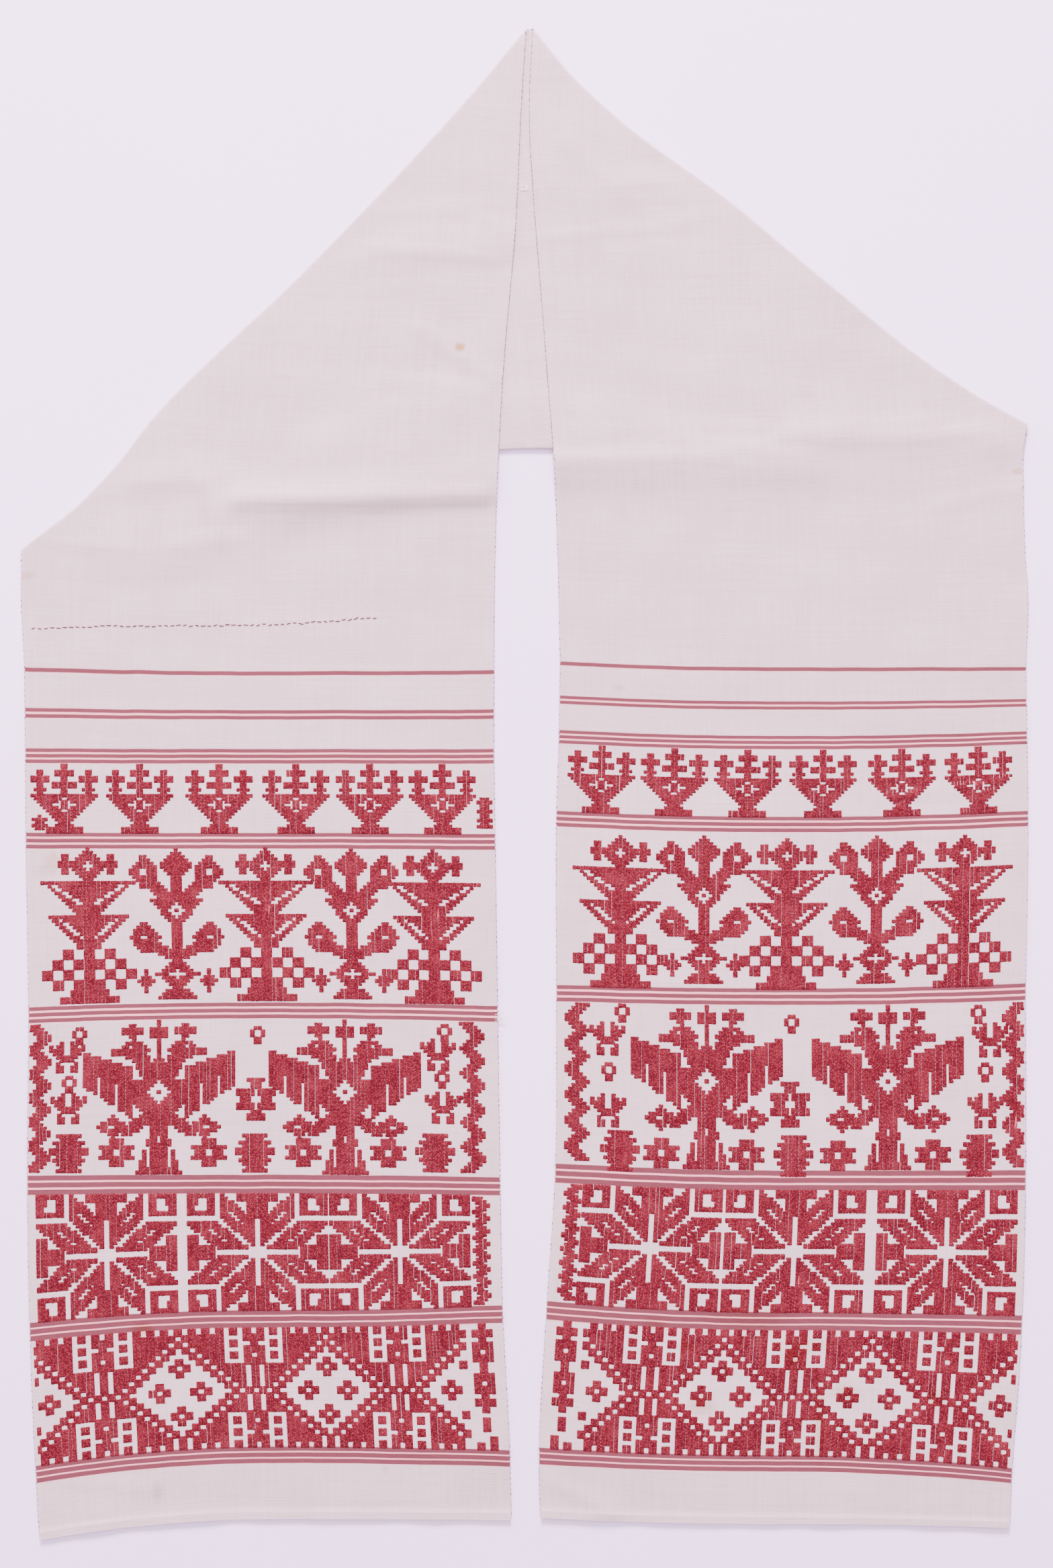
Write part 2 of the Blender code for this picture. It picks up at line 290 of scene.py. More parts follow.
LEFT = Leg(-1, LEFT_LEG, LEFT_SWAY, LEFT_BOW, LEFT_CORNER_ALONG, LEFT_TIP_ALONG)
RIGHT = Leg(1, RIGHT_LEG, RIGHT_SWAY, RIGHT_BOW, RIGHT_CORNER_ALONG, RIGHT_TIP_ALONG)
LEGS = (LEFT, RIGHT)
print("crease lengths, mm:", [round(1000 * leg.crease_length) for leg in LEGS])

# %% Heights: the margin under the middle, the ridges, and a gentle unevenness
UNEVEN = 0.0011
UNEVEN_WAVES = (
    (61, 23, 0.4),
    (-34, 52, 2.1),
    (95, -71, 4.4),
    (18, 128, 1.2),
    (140, 31, 5.3),
)


def margin_line(run):
    turn = (run - MARGIN_MIDDLE) / MARGIN_HALF
    line = MARGIN_DEPTH * np.cos(np.clip(turn, -1, 1) * math.pi / 2) ** 2
    return np.where(np.abs(turn) < 1, line, -BEND)


def on_strip(plan):
    return (plan - LEFT_CORNER) @ BACK_DIRECTION, (plan - LEFT_CORNER) @ BACK_UP


def margin_cover(plan):
    run, rise = on_strip(plan)
    ends = MARGIN_HALF + MARGIN_CLEAR + MARGIN_SLOPE - np.abs(run - MARGIN_MIDDLE)
    top = 2 * np.maximum(margin_line(run), 0.0) + MARGIN_CLEAR + MARGIN_SLOPE - rise
    return smooth_step(ends / MARGIN_SLOPE) * smooth_step(top / MARGIN_SLOPE)


def ridge_height(plan, rows, combine):
    height = np.zeros(len(plan))
    for row in rows:
        x0, y0, x1, y1, top, half = (value / 1000 for value in row)
        start = np.array((x0, y0))
        run = np.array((x1, y1)) - start
        place = (plan - start) @ run / (run @ run)
        share = np.clip(place, 0.0, 1.0)
        away = np.linalg.norm(plan - start - share[:, None] * run, axis=1)
        one = top * smooth_step(1 - away / half)
        height = combine(height, one)
    return height


def uneven(plan):
    """A shallow unevenness, the same in every layer, so that stacked layers stay apart."""
    total = np.zeros(len(plan))
    for kx, ky, start in UNEVEN_WAVES:
        total += 1 + np.sin(plan[:, 0] * kx + plan[:, 1] * ky + start)
    return UNEVEN * total / len(UNEVEN_WAVES)


def back_height(plan):
    return THICK / 2 + PITCH * margin_cover(plan) + uneven(plan)


def leg_height(plan):
    run, rise = on_strip(plan)
    below = np.maximum(margin_line(run), 0.0) - rise
    on_back = 1 - smooth_step((below - STEP_START) / STEP_RUN)
    inside = np.minimum(LEFT.depth(plan), RIGHT.depth(plan))
    ridges = ridge_height(plan, RIDGES, np.maximum)
    fine = CREASE_GAIN * ridge_height(plan, FINE_CREASES, np.add)
    raised = (ridges + fine) * smooth_step(inside / 0.03)
    return THICK / 2 + PITCH * (1 + margin_cover(plan)) * on_back + raised + uneven(plan)


# %% The fold itself
def fold(flat):
    """Maps places on the flat cloth (along, across, height) to the lying towel."""
    along, across, height = np.asarray(flat, float).T
    plan = back_plan(along, across)
    run, rise = on_strip(plan)

    rolled = np.maximum(margin_line(run) - rise, 0.0)
    angle = np.minimum(rolled / BEND, math.pi)
    flat_part = np.maximum(rolled - math.pi * BEND, 0.0)
    margin = rolled > 0
    shift = rolled - (BEND - height) * np.sin(angle) + flat_part
    plan = plan + np.where(margin, shift, 0.0)[:, None] * BACK_UP
    z = back_height(plan) - height
    z = np.where(margin, back_height(plan) - BEND + (BEND - height) * np.cos(angle), z)

    for leg in LEGS:
        is_leg = leg.beyond(along, across) > 0
        leg_plan = leg.plan(along[is_leg], across[is_leg])
        above = height[is_leg]
        depth = np.maximum(leg.depth(leg_plan), 0.0)
        angle = np.minimum(depth / BEND, math.pi)
        fade = np.exp(-((depth / BOW_REACH) ** 2))
        lying = depth - math.pi * BEND * fade
        inside = np.where(angle < math.pi, -(BEND + above) * np.sin(angle), lying)
        leg_plan = leg_plan + (inside - depth)[:, None] * leg.inward
        plan[is_leg] = leg_plan
        z[is_leg] = leg_height(leg_plan) - BEND - (BEND + above) * np.cos(angle)
    for leg in LEGS:
        plan = leg.bowed(plan)
    return np.column_stack((plan - BOX_MIDDLE, z))


# %% [markdown]
# ## The sheet of cloth
# The slab starts as a plane grid. Lines of edges are cut where it will roll over, because a bend
# needs edges along its crease. Extruding the grid gives it a second face and closed edges, and
# the hems at both ends come out a little thicker. The flat coordinates go into the UV map before
# folding, so every pattern on the cloth is drawn in the weaver's own metres.

# %% Cutting lines of edges
CELLS_ALONG = 448
CELLS_ACROSS = 68


def cut(bm, start, end, faces=None):
    chosen = bm.faces[:] if faces is None else faces
    edges = {edge for face in chosen for edge in face.edges}
    verts = {vert for face in chosen for vert in face.verts}
    line = np.array(end) - np.array(start)
    bmesh.ops.bisect_plane(
        bm,
        geom=list(chosen) + list(edges) + list(verts),
        dist=1e-6,
        plane_co=(start[0], start[1], 0.0),
        plane_no=(line[1], -line[0], 0.0),
    )


def cut_leg_bends(bm):
    for leg in LEGS:
        slope = leg.crease @ BACK_DIRECTION / (leg.crease @ BACK_UP)
        across_crease = math.cos(math.atan(slope)) * BACK_STRETCH
        for step in range(BEND_STEPS + 1):
            past = leg.sign * math.pi * BEND * step / BEND_STEPS / across_crease
            start = (leg.corner_along + past, -WIDTH / 2)
            end = (leg.tip_along + past, WIDTH / 2)
            cut(bm, start, end)


def cut_margin_bend(bm):
    cell = LENGTH / CELLS_ALONG
    for step in range(BEND_STEPS + 1):
        columns = {}
        for face in bm.faces:
            place = face.calc_center_median()
            if place.y < -WIDTH / 4:
                columns.setdefault(int(place.x / cell), []).append(face)
        for index, faces in columns.items():
            ends = np.array((index, index + 1)) * cell
            lines = margin_line((ends - LEFT_CORNER_ALONG) * BACK_STRETCH)
            if lines.max() <= 0:
                continue
            rolled = np.maximum(lines, 0.0) - math.pi * BEND * step / BEND_STEPS
            if rolled.max() <= 0:
                continue
            levels = rolled * WIDTH / BACK_WIDTH - WIDTH / 2
            cut(bm, (ends[0], levels[0]), (ends[1], levels[1]), faces)


# %% The folded sheet
def flat_sheet():
    bm = bmesh.new()
    bmesh.ops.create_grid(bm, x_segments=CELLS_ALONG, y_segments=CELLS_ACROSS, size=0.5)
    for vert in bm.verts:
        vert.co.x = (vert.co.x + 0.5) * LENGTH
        vert.co.y *= WIDTH
    cut_margin_bend(bm)
    cut_leg_bends(bm)
    for place in (HEM_REACH, HEM_REACH + HEM_SLOPE):
        for along in (place, LENGTH - place):
            cut(bm, (along, -WIDTH / 2), (along, WIDTH / 2))
    for vert in bm.verts:
        vert.co.z = -THICK / 2
    top = bmesh.ops.extrude_face_region(bm, geom=bm.faces[:])
    for vert in top["geom"]:
        if isinstance(vert, bmesh.types.BMVert):
            end = min(vert.co.x, LENGTH - vert.co.x)
            roll = 1 - smooth_step((end - HEM_REACH) / HEM_SLOPE)
            vert.co.z = THICK / 2 + HEM_EXTRA * float(roll)
    bmesh.ops.recalc_face_normals(bm, faces=bm.faces[:])
    return bm


def fold_bmesh(bm):
    """Writes the flat place of every corner into the UV map, then folds the mesh."""
    flat_map = bm.loops.layers.uv.new("flat")
    for face in bm.faces:
        for loop in face.loops:
            loop[flat_map].uv = (loop.vert.co.y + WIDTH / 2, loop.vert.co.x)
    flat = np.array([vert.co[:] for vert in bm.verts])
    for vert, place in zip(bm.verts, fold(flat)):
        vert.co = place


def finished(bm, name, material, sharp=60):
    """Turns a bmesh into a smooth-shaded piece that rides on the one body."""
    mesh = bpy.data.meshes.new(name)
    bm.to_mesh(mesh)
    bm.free()
    mesh.materials.append(material)
    mesh.shade_smooth()
    mesh.set_sharp_from_angle(angle=math.radians(sharp))
    piece = bpy.data.objects.new(name, mesh)
    bpy.context.scene.collection.objects.link(piece)
    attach(piece, "root")
    triangles = sum(len(face.vertices) - 2 for face in mesh.polygons)
    print(f"{name}: {triangles} triangles")
    return piece


# %% [markdown]
# ## Finishes
# All threads share a few effects, so each is a node group with named inputs: the fine grid of the
# plain weave, the marks that age leaves, and the twill of the stripes. The groups only give
# heights, masks and colours; each material keeps its own shader.

# %% Node helpers
def new_group(name, inputs, outputs):
    tree = bpy.data.node_groups.new(name, "ShaderNodeTree")
    for label, kind in inputs:
        tree.interface.new_socket(name=label, in_out="INPUT", socket_type="NodeSocket" + kind)
    for label, kind in outputs:
        tree.interface.new_socket(name=label, in_out="OUTPUT", socket_type="NodeSocket" + kind)
    return tree, tree.nodes.new("NodeGroupInput").outputs, tree.nodes.new("NodeGroupOutput").inputs


def feed(tree, socket, value):
    if isinstance(value, bpy.types.NodeSocket):
        tree.links.new(value, socket)
    else:
        socket.default_value = value


def calc(tree, operation, *values):
    node = tree.nodes.new("ShaderNodeMath")
    node.operation = operation
    for socket, value in zip(node.inputs, values):
        feed(tree, socket, value)
    return node.outputs[0]


def ramped(tree, value, low, high, to_low=0.0, to_high=1.0, smooth=True):
    node = tree.nodes.new("ShaderNodeMapRange")
    node.interpolation_type = "SMOOTHSTEP" if smooth else "LINEAR"
    for socket, one in zip(node.inputs, (value, low, high, to_low, to_high)):
        feed(tree, socket, one)
    return node.outputs[0]


def scaled(tree, vector, factors):
    node = tree.nodes.new("ShaderNodeVectorMath")
    node.operation = "MULTIPLY"
    feed(tree, node.inputs[0], vector)
    node.inputs[1].default_value = factors
    return node.outputs[0]


def noise(tree, vector, scale, detail=2.0, rough=0.5, output=0):
    node = tree.nodes.new("ShaderNodeTexNoise")
    feed(tree, node.inputs["Vector"], vector)
    node.inputs["Scale"].default_value = scale
    node.inputs["Detail"].default_value = detail
    node.inputs["Roughness"].default_value = rough
    return node.outputs[output]


def mixed(tree, factor, first, second, blend="MIX"):
    node = tree.nodes.new("ShaderNodeMix")
    node.data_type = "RGBA"
    node.blend_type = blend
    feed(tree, node.inputs["Factor"], factor)
    feed(tree, node.inputs["A"], first)
    feed(tree, node.inputs["B"], second)
    return node.outputs["Result"]


def split(tree, vector):
    node = tree.nodes.new("ShaderNodeSeparateXYZ")
    feed(tree, node.inputs[0], vector)
    return node.outputs


def use(tree, group, **values):
    node = tree.nodes.new("ShaderNodeGroup")
    node.node_tree = group
    for label, value in values.items():
        feed(tree, node.inputs[label.replace("_", " ").capitalize()], value)
    return node.outputs


# %% [markdown]
# The plain weave: warp and weft pass over and under each other. Its height is the rounded top of
# whichever thread is up; streaks along both directions stand for thick and thin places in the
# hand-spun yarn.

# %% Plain weave
def plain_weave():
    tree, given, out = new_group(
        "plain weave",
        (("Flat", "Vector"), ("Threads per metre", "Float")),
        (("Height", "Float"), ("Streaks", "Float")),
    )
    place = split(tree, given["Flat"])
    over = []
    for axis in (0, 1):
        turns = calc(tree, "MULTIPLY", place[axis], given["Threads per metre"])
        wave = calc(tree, "SINE", calc(tree, "MULTIPLY", turns, math.pi))
        over.append((calc(tree, "ABSOLUTE", wave), turns))
    cell = calc(tree, "ADD", calc(tree, "FLOOR", over[0][1]), calc(tree, "FLOOR", over[1][1]))
    parity = calc(tree, "MULTIPLY", calc(tree, "FRACT", calc(tree, "MULTIPLY", cell, 0.5)), 2.0)
    warp_up = calc(tree, "MULTIPLY", over[0][0], parity)
    weft_up = calc(tree, "MULTIPLY", over[1][0], calc(tree, "SUBTRACT", 1.0, parity))
    feed(tree, out["Height"], calc(tree, "ADD", warp_up, weft_up))
    warp = noise(tree, scaled(tree, given["Flat"], (1.0, 0.03, 1.0)), 900, 3, 0.6)
    weft = noise(tree, scaled(tree, given["Flat"], (0.03, 1.0, 1.0)), 900, 3, 0.6)
    both = calc(tree, "MULTIPLY", calc(tree, "ADD", warp, weft), 0.5)
    feed(tree, out["Streaks"], ramped(tree, both, 0.38, 0.62, smooth=False))
    return tree


PLAIN_WEAVE = plain_weave()

# %% [markdown]
# Age leaves soft yellow and grey marks. Each is a blurred oval with a ragged edge, given in the
# table: middle, half sizes, and how strong it is.

# %% Marks of age
OCHRE_GAIN = 1.5
GREY_GAIN = 1.0
# Columns: x_mm, y_mm, wide_mm, high_mm, strength.
OCHRE_MARKS = (
    (-52, 352, 5, 3.5, 0.75),
    (-402, 168, 9, 4, 0.3),
    (-380, -62, 7, 10, 0.28),
    (397, 252, 5, 3, 0.35),
    (-308, -438, 9, 5, 0.5),
    (-262, -452, 5, 4, 0.32),
    (180, -430, 34, 9, 0.26),
    (224, -452, 22, 8, 0.26),
    (131, -452, 9, 6, 0.34),
    (142, -500, 12, 9, 0.34),
    (216, -458, 8, 11, 0.36),
    (238, -516, 5, 30, 0.34),
    (258, -490, 12, 10, 0.24),
    (330, -494, 7, 9, 0.3),
    (104, -434, 10, 5, 0.3),
    (-96, -483, 8, 7, 0.26),
)
GREY_MARKS = (
    (-295, -570, 5, 9, 0.38),
    (-112, -551, 3.5, 4, 0.28),
    (-205, -500, 4, 4, 0.2),
    (-22, -566, 40, 20, 0.12),
    (76, 78, 5, 2.5, 0.34),
    (-388, -70, 8, 6, 0.22),
    (-20, -560, 16, 8, 0.14),
)


def marks(name, rows, gain):
    tree, given, out = new_group(name, (("Place", "Vector"),), (("Mask", "Float"),))
    ragged = noise(tree, given["Place"], 160, 4, 0.65)
    total = None
    for x, y, wide, high, strength in rows:
        node = tree.nodes.new("ShaderNodeMapping")
        node.vector_type = "TEXTURE"
        feed(tree, node.inputs["Vector"], given["Place"])
        node.inputs["Location"].default_value = (x / 1000, y / 1000, 0)
        node.inputs["Scale"].default_value = (wide / 1000, high / 1000, 1)
        length = tree.nodes.new("ShaderNodeVectorMath")
        length.operation = "LENGTH"
        feed(tree, length.inputs[0], node.outputs[0])
        away = calc(tree, "ADD", length.outputs["Value"], calc(tree, "MULTIPLY", ragged, 1.1))
        mark = ramped(tree, away, 2.0, 0.75, 0.0, min(1.0, gain * strength))
        total = mark if total is None else calc(tree, "MAXIMUM", total, mark)
    feed(tree, out["Mask"], total)
    return tree


OCHRE = marks("ochre marks", OCHRE_MARKS, OCHRE_GAIN)
GREY = marks("grey marks", GREY_MARKS, GREY_GAIN)

# %% [markdown]
# A set of stripes is a few equal bands with narrow gaps. The group works out, from the distance
# up from the hem, whether a place is on a band, with an edge as soft as one weft thread.

# %% Stripe sets
# Columns: start_mm, band_mm, gap_mm, count.
STRIPES = (
    (44.0, 3.5, 1.3, 3),
    (153.0, 3.8, 1.3, 3),
    (262.0, 3.9, 1.6, 3),
    (402.0, 3.0, 1.8, 3),
    (538.5, 3.0, 1.8, 3),
    (608.0, 2.8, 1.6, 3),
    (643.5, 2.8, 1.9, 2),
    (679.0, 3.2, 1.0, 1),
)
STRIPE_EDGE = 0.0003


def stripe_set():
    tree, given, out = new_group(
        "stripe set",
        (("Up", "Float"), ("Start", "Float"), ("Band", "Float"), ("Gap", "Float"), ("Count", "Float")),
        (("Mask", "Float"),),
    )
    period = calc(tree, "ADD", given["Band"], given["Gap"])
    past = calc(tree, "SUBTRACT", given["Up"], given["Start"])
    share = calc(tree, "DIVIDE", past, period)
    inside = calc(tree, "MULTIPLY", calc(tree, "FRACT", share), period)
    middle = calc(tree, "MULTIPLY", given["Band"], 0.5)
    off = calc(tree, "ABSOLUTE", calc(tree, "SUBTRACT", inside, middle))
    outside = calc(tree, "ADD", middle, STRIPE_EDGE)
    band = ramped(tree, off, outside, calc(tree, "SUBTRACT", middle, 0.5 * STRIPE_EDGE))
    band = calc(tree, "MULTIPLY", band, calc(tree, "GREATER_THAN", share, 0.0))
    band = calc(tree, "MULTIPLY", band, calc(tree, "LESS_THAN", share, given["Count"]))
    feed(tree, out["Mask"], band)
    return tree


STRIPE_SET = stripe_set()


# %% The linen with its woven stripes
LINEN_COLOUR = (0.655, 0.560, 0.485, 1)
LINEN_THIN = (0.550, 0.462, 0.395, 1)
STRIPE_RED = (0.122, 0.020, 0.026, 1)
STRIPE_DARK = (0.070, 0.011, 0.017, 1)
STRIPE_GAP = (0.90, 0.350, 0.310, 1)
OCHRE_COLOUR = (0.70, 0.49, 0.25, 1)
GREY_COLOUR = (0.47, 0.42, 0.38, 1)
THREADS_PER_METRE = 1500
STRIPE_REACH = (0.0012, 0.0006)


def start_material(name, roughness, sheen):
    material = bpy.data.materials.new(name)
    material.use_nodes = True
    tree = material.node_tree
    shader = tree.nodes["Principled BSDF"]
    shader.inputs["Roughness"].default_value = roughness
    shader.inputs["Specular IOR Level"].default_value = 0.25
    shader.inputs["Sheen Weight"].default_value = sheen
    shader.inputs["Sheen Roughness"].default_value = 0.5
    flat = tree.nodes.new("ShaderNodeUVMap")
    flat.uv_map = "flat"
    place = tree.nodes.new("ShaderNodeTexCoord").outputs["Object"]
    return material, tree, shader, flat.outputs[0], place


def aged(tree, colour, place):
    ochre = use(tree, OCHRE, place=place)["Mask"]
    grey = use(tree, GREY, place=place)["Mask"]
    colour = mixed(tree, ochre, colour, OCHRE_COLOUR, "MULTIPLY")
    return mixed(tree, grey, colour, GREY_COLOUR, "MULTIPLY")


def bumped(tree, shader, height, distance, strength=1.0):
    bump = tree.nodes.new("ShaderNodeBump")
    bump.inputs["Strength"].default_value = strength
    bump.inputs["Distance"].default_value = distance
    feed(tree, bump.inputs["Height"], height)
    feed(tree, shader.inputs["Normal"], bump.outputs[0])


def linen():
    material, tree, shader, flat, place = start_material("linen", 0.92, 0.15)
    weave = use(tree, PLAIN_WEAVE, flat=flat, threads_per_metre=THREADS_PER_METRE)
    axes = split(tree, flat)
    from_right = calc(tree, "SUBTRACT", LENGTH, axes[1])
    up = calc(tree, "MINIMUM", axes[1], from_right)
    wander = noise(tree, scaled(tree, flat, (30.0, 2.0, 1.0)), 1.0, 3)
    up = calc(tree, "ADD", up, calc(tree, "MULTIPLY", calc(tree, "SUBTRACT", wander, 0.5), STRIPE_REACH[0]))
    band = None
    whole = None
    for start, wide, gap, count in STRIPES:
        size = wide * count + gap * (count - 1)
        sizes = {"start": start / 1000, "band": wide / 1000, "gap": gap / 1000}
        one = use(tree, STRIPE_SET, up=up, count=count, **sizes)["Mask"]
        near = calc(tree, "ABSOLUTE", calc(tree, "SUBTRACT", up, (start + size / 2) / 1000))
        set_mask = ramped(tree, near, (size / 2 + 0.9) / 1000, (size / 2 - 0.2) / 1000)
        band = one if band is None else calc(tree, "MAXIMUM", band, one)
        whole = set_mask if whole is None else calc(tree, "MAXIMUM", whole, set_mask)

    # The twill shows as fine slanting lines of red and pale thread.
    slant = calc(tree, "MULTIPLY", calc(tree, "ADD", axes[0], axes[1]), 2 * math.pi * 820)
    twill = ramped(tree, calc(tree, "SINE", slant), -0.6, 0.9)
    fleck = noise(tree, flat, 1300, 2, 0.6)
    red = mixed(tree, ramped(tree, fleck, 0.35, 0.65), STRIPE_DARK, STRIPE_RED)
    red = mixed(tree, calc(tree, "MULTIPLY", twill, 0.16), red, STRIPE_GAP)

    cloud = noise(tree, place, 9, 4, 0.6)
    long_warp = noise(tree, scaled(tree, flat, (1.0, 0.02, 1.0)), 300, 2, 0.6)
    long_weft = noise(tree, scaled(tree, flat, (0.02, 1.0, 1.0)), 300, 2, 0.6)
    uneven_yarn = calc(tree, "MULTIPLY", calc(tree, "ADD", long_warp, long_weft), 0.5)
    thin = calc(tree, "MULTIPLY", weave["Streaks"], ramped(tree, uneven_yarn, 0.40, 0.60, 0.25, 1.0))
    ground = mixed(tree, thin, LINEN_COLOUR, LINEN_THIN)
    shade = ramped(tree, cloud, 0.3, 0.7, 0.955, 1.0)
    ground = mixed(tree, 1.0, ground, shade, "MULTIPLY")
    ground = mixed(tree, calc(tree, "MULTIPLY", whole, 0.85), ground, STRIPE_GAP)
    colour = mixed(tree, band, ground, red)
    feed(tree, shader.inputs["Base Color"], aged(tree, colour, place))
    knots = noise(tree, scaled(tree, flat, (1.0, 0.4, 1.0)), 420, 1, 0.5)
    knots = ramped(tree, knots, 0.80, 0.86)
    slubs = calc(tree, "MULTIPLY", weave["Streaks"], 1.2)
    slubs = calc(tree, "ADD", slubs, calc(tree, "MULTIPLY", knots, 4.0))
    height = calc(tree, "ADD", weave["Height"], slubs)
    height = calc(tree, "ADD", height, calc(tree, "MULTIPLY", band, calc(tree, "ADD", 0.8, twill)))
    bumped(tree, shader, height, 0.00012)
    return material


LINEN = linen()
cloth_mesh = flat_sheet()
fold_bmesh(cloth_mesh)
towel = finished(cloth_mesh, "towel_cloth", LINEN)
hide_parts("towel")


# %% [markdown]
# ## Weavers' charts
# The figures are laid in with a thick soft yarn over counted threads, so each one is a small
# chart: a mark is a place where the red yarn lies on top. The large figures are composed from a
# few plain shapes, as a weaver would on squared paper: diamonds, bars, wedges and slanting arms.
# The little figures that stand between them are typed out. All are the same on both sides of
# their middle line, so only one half is made. An odd figure shares its middle column, an even one
# repeats it.

# %% Drawing on squared paper
class HalfChart:
    """Half a figure. Rows count down from the top, columns outwards from the middle line."""

    def __init__(self, rows, half):
        self.marks = np.zeros((rows, half), bool)
        self.row, self.out = np.indices((rows, half))

    def diamond(self, row, out, tall, wide, mark=True):
        """Round a middle place, with these half sizes."""
        self.marks[abs(self.row - row) / tall + abs(self.out - out) / wide <= 1] = mark

    def bar(self, top, bottom, low, high, mark=True):
        self.wedge(top, bottom, low, high, high, mark)

    def wedge(self, top, bottom, low, high_top, high_bottom, mark=True):
        """From one column out to an edge that slants between two others."""
        share = (self.row - top) / max(bottom - top, 1)
        edge = high_top + (high_bottom - high_top) * share
        inside = (self.row >= top) & (self.row <= bottom)
        self.marks[inside & (self.out >= low) & (self.out <= edge)] = mark

    def arm(self, start, end, thick, mark=True):
        """A slanting bar between two places, each given as (row, column)."""
        run = np.subtract(end, start)
        row, out = self.row - start[0], self.out - start[1]
        share = np.clip((row * run[0] + out * run[1]) / (run @ run), 0, 1)
        self.marks[np.hypot(row - share * run[0], out - share * run[1]) <= thick / 2] = mark

    def whole(self, odd):
        far = self.marks[:, :0:-1] if odd else self.marks[:, ::-1]
        lines = np.hstack((far, self.marks)).tolist()
        return ["".join(".#"[mark] for mark in line) for line in lines]


# %% Reading a chart
def whole_chart(half, odd):
    rows = half.split()
    return [row + (row[-2::-1] if odd else row[::-1]) for row in rows]


def rib_runs(chart):
    """Every unbroken run of marks in a column: (column, first row, last row + 1)."""
    runs = []
    for index in range(len(chart[0])):
        text = "".join(row[index] for row in chart) + "."
        start = None
        for place, mark in enumerate(text):
            if mark == "#" and start is None:
                start = place
            if mark != "#" and start is not None:
                runs.append((index, start, place))
                start = None
    return runs


# %% The footed bowl with three crosses
def footed_bowl():
    half = HalfChart(23, 11)
    half.bar(0, 12, 0, 0)
    half.bar(2, 3, 0, 2)
    half.bar(6, 7, 0, 3)
    half.bar(2, 12, 7, 8)
    half.bar(4, 5, 5, 10)
    half.bar(8, 8, 6, 9)
    half.wedge(10, 18, 0, 10, 2)
    half.diamond(13, 0, 2.2, 3, mark=False)
    half.bar(12, 14, 0, 0)
    half.bar(18, 20, 0, 1)
    half.bar(20, 20, 0, 2)
    half.bar(21, 22, 0, 5)
    return half.whole(odd=False)


# %% The tree: a bud, two pairs of wedge leaves and a checkered root
CHECK = 3


def tree():
    half = HalfChart(46, 14)
    half.diamond(5, 0, 5.5, 5)
    half.diamond(4.5, 6.5, 3.4, 2.6)
    half.diamond(5, 0, 1.6, 1.2, mark=False)
    half.bar(9, 45, 0, 1)
    for top, bottom, wide in ((10, 19, 13), (20, 29, 11)):
        half.wedge(top, bottom, 0, wide, 3)
        half.arm((top + 1, wide - 3), (bottom - 3, 2), 1.2, mark=False)
    for down in range(4):
        for out in range(5):
            if (down + out) % 2 == 0 and out <= down + 2:
                first = CHECK * out - 1
                half.bar(30 + CHECK * down, 32 + CHECK * down, first, first + CHECK - 1)
    half.bar(42, 43, 0, 5)
    half.bar(44, 45, 0, 8)
    return half.whole(odd=True)


# %% The spray: five diamonds on slanting arms
def spray():
    half = HalfChart(45, 14)
    half.bar(8, 44, 0, 1)
    half.diamond(4.5, 0, 5, 4.5)
    for row, joint, tall in ((6.5, 17, 5.5), (26, 32, 5)):
        half.arm((joint, 0), (row + 2, 8.5), 3.2)
        half.diamond(row, 9.3, tall, 4.6)
        half.diamond(row, 9.3, 1.2, 1.2, mark=False)
    half.wedge(15, 23, 0, 7, 1)
    half.diamond(18, 0, 2, 2, mark=False)
    half.bar(18, 18, 0, 0)
    half.diamond(37, 0, 5, 6)
    half.diamond(37, 0, 1.6, 2.2, mark=False)
    half.diamond(39, 9, 3.2, 2.6)
    half.wedge(42, 44, 0, 3, 5)
    return half.whole(odd=True)


# %% The two-headed eagle: crown, heads, slit wings, legs and a fanned tail
WING_TOP = (13, -0.35)
WING_FOOT = (27, -0.65)
WING_ROOT = 8
FEATHER = 5


def eagle():
    half = HalfChart(44, 22)
    half.bar(0, 9, 0, 0)
    half.bar(2, 4, 0, 2)
    half.bar(1, 4, 7, 8)
    half.bar(2, 3, 5, 10)
    half.diamond(8, 7, 3.8, 4.6)
    half.bar(8, 9, 10, 13)
    half.bar(7, 7, 7, 8, mark=False)
    half.arm((9, 6), (16, 2), 4.6)
    half.diamond(21, 0, 12, 8.5)
    half.diamond(20, 0, 3.2, 3.2, mark=False)
    half.bar(20, 20, 0, 0)
    top = WING_TOP[0] + WING_TOP[1] * (half.out - WING_ROOT)
    foot = WING_FOOT[0] + WING_FOOT[1] * (half.out - WING_ROOT)
    wing = (half.out >= WING_ROOT) & (half.row >= top) & (half.row <= foot)
    slit = ((half.out - WING_ROOT) % FEATHER == FEATHER - 1) & (half.row > top + 6)
    half.marks[wing & ~slit] = True
    half.bar(17, 19, 5, 8)
    half.arm((28, 4), (31, 9), 3.2)
    half.diamond(30, 13, 3, 4.6)
    half.bar(30, 30, 13, 14, mark=False)
    half.wedge(30, 43, 0, 2, 6)
    half.bar(36, 41, 3, 3, mark=False)
    half.bar(33, 34, 0, 0, mark=False)
    return half.whole(odd=True)


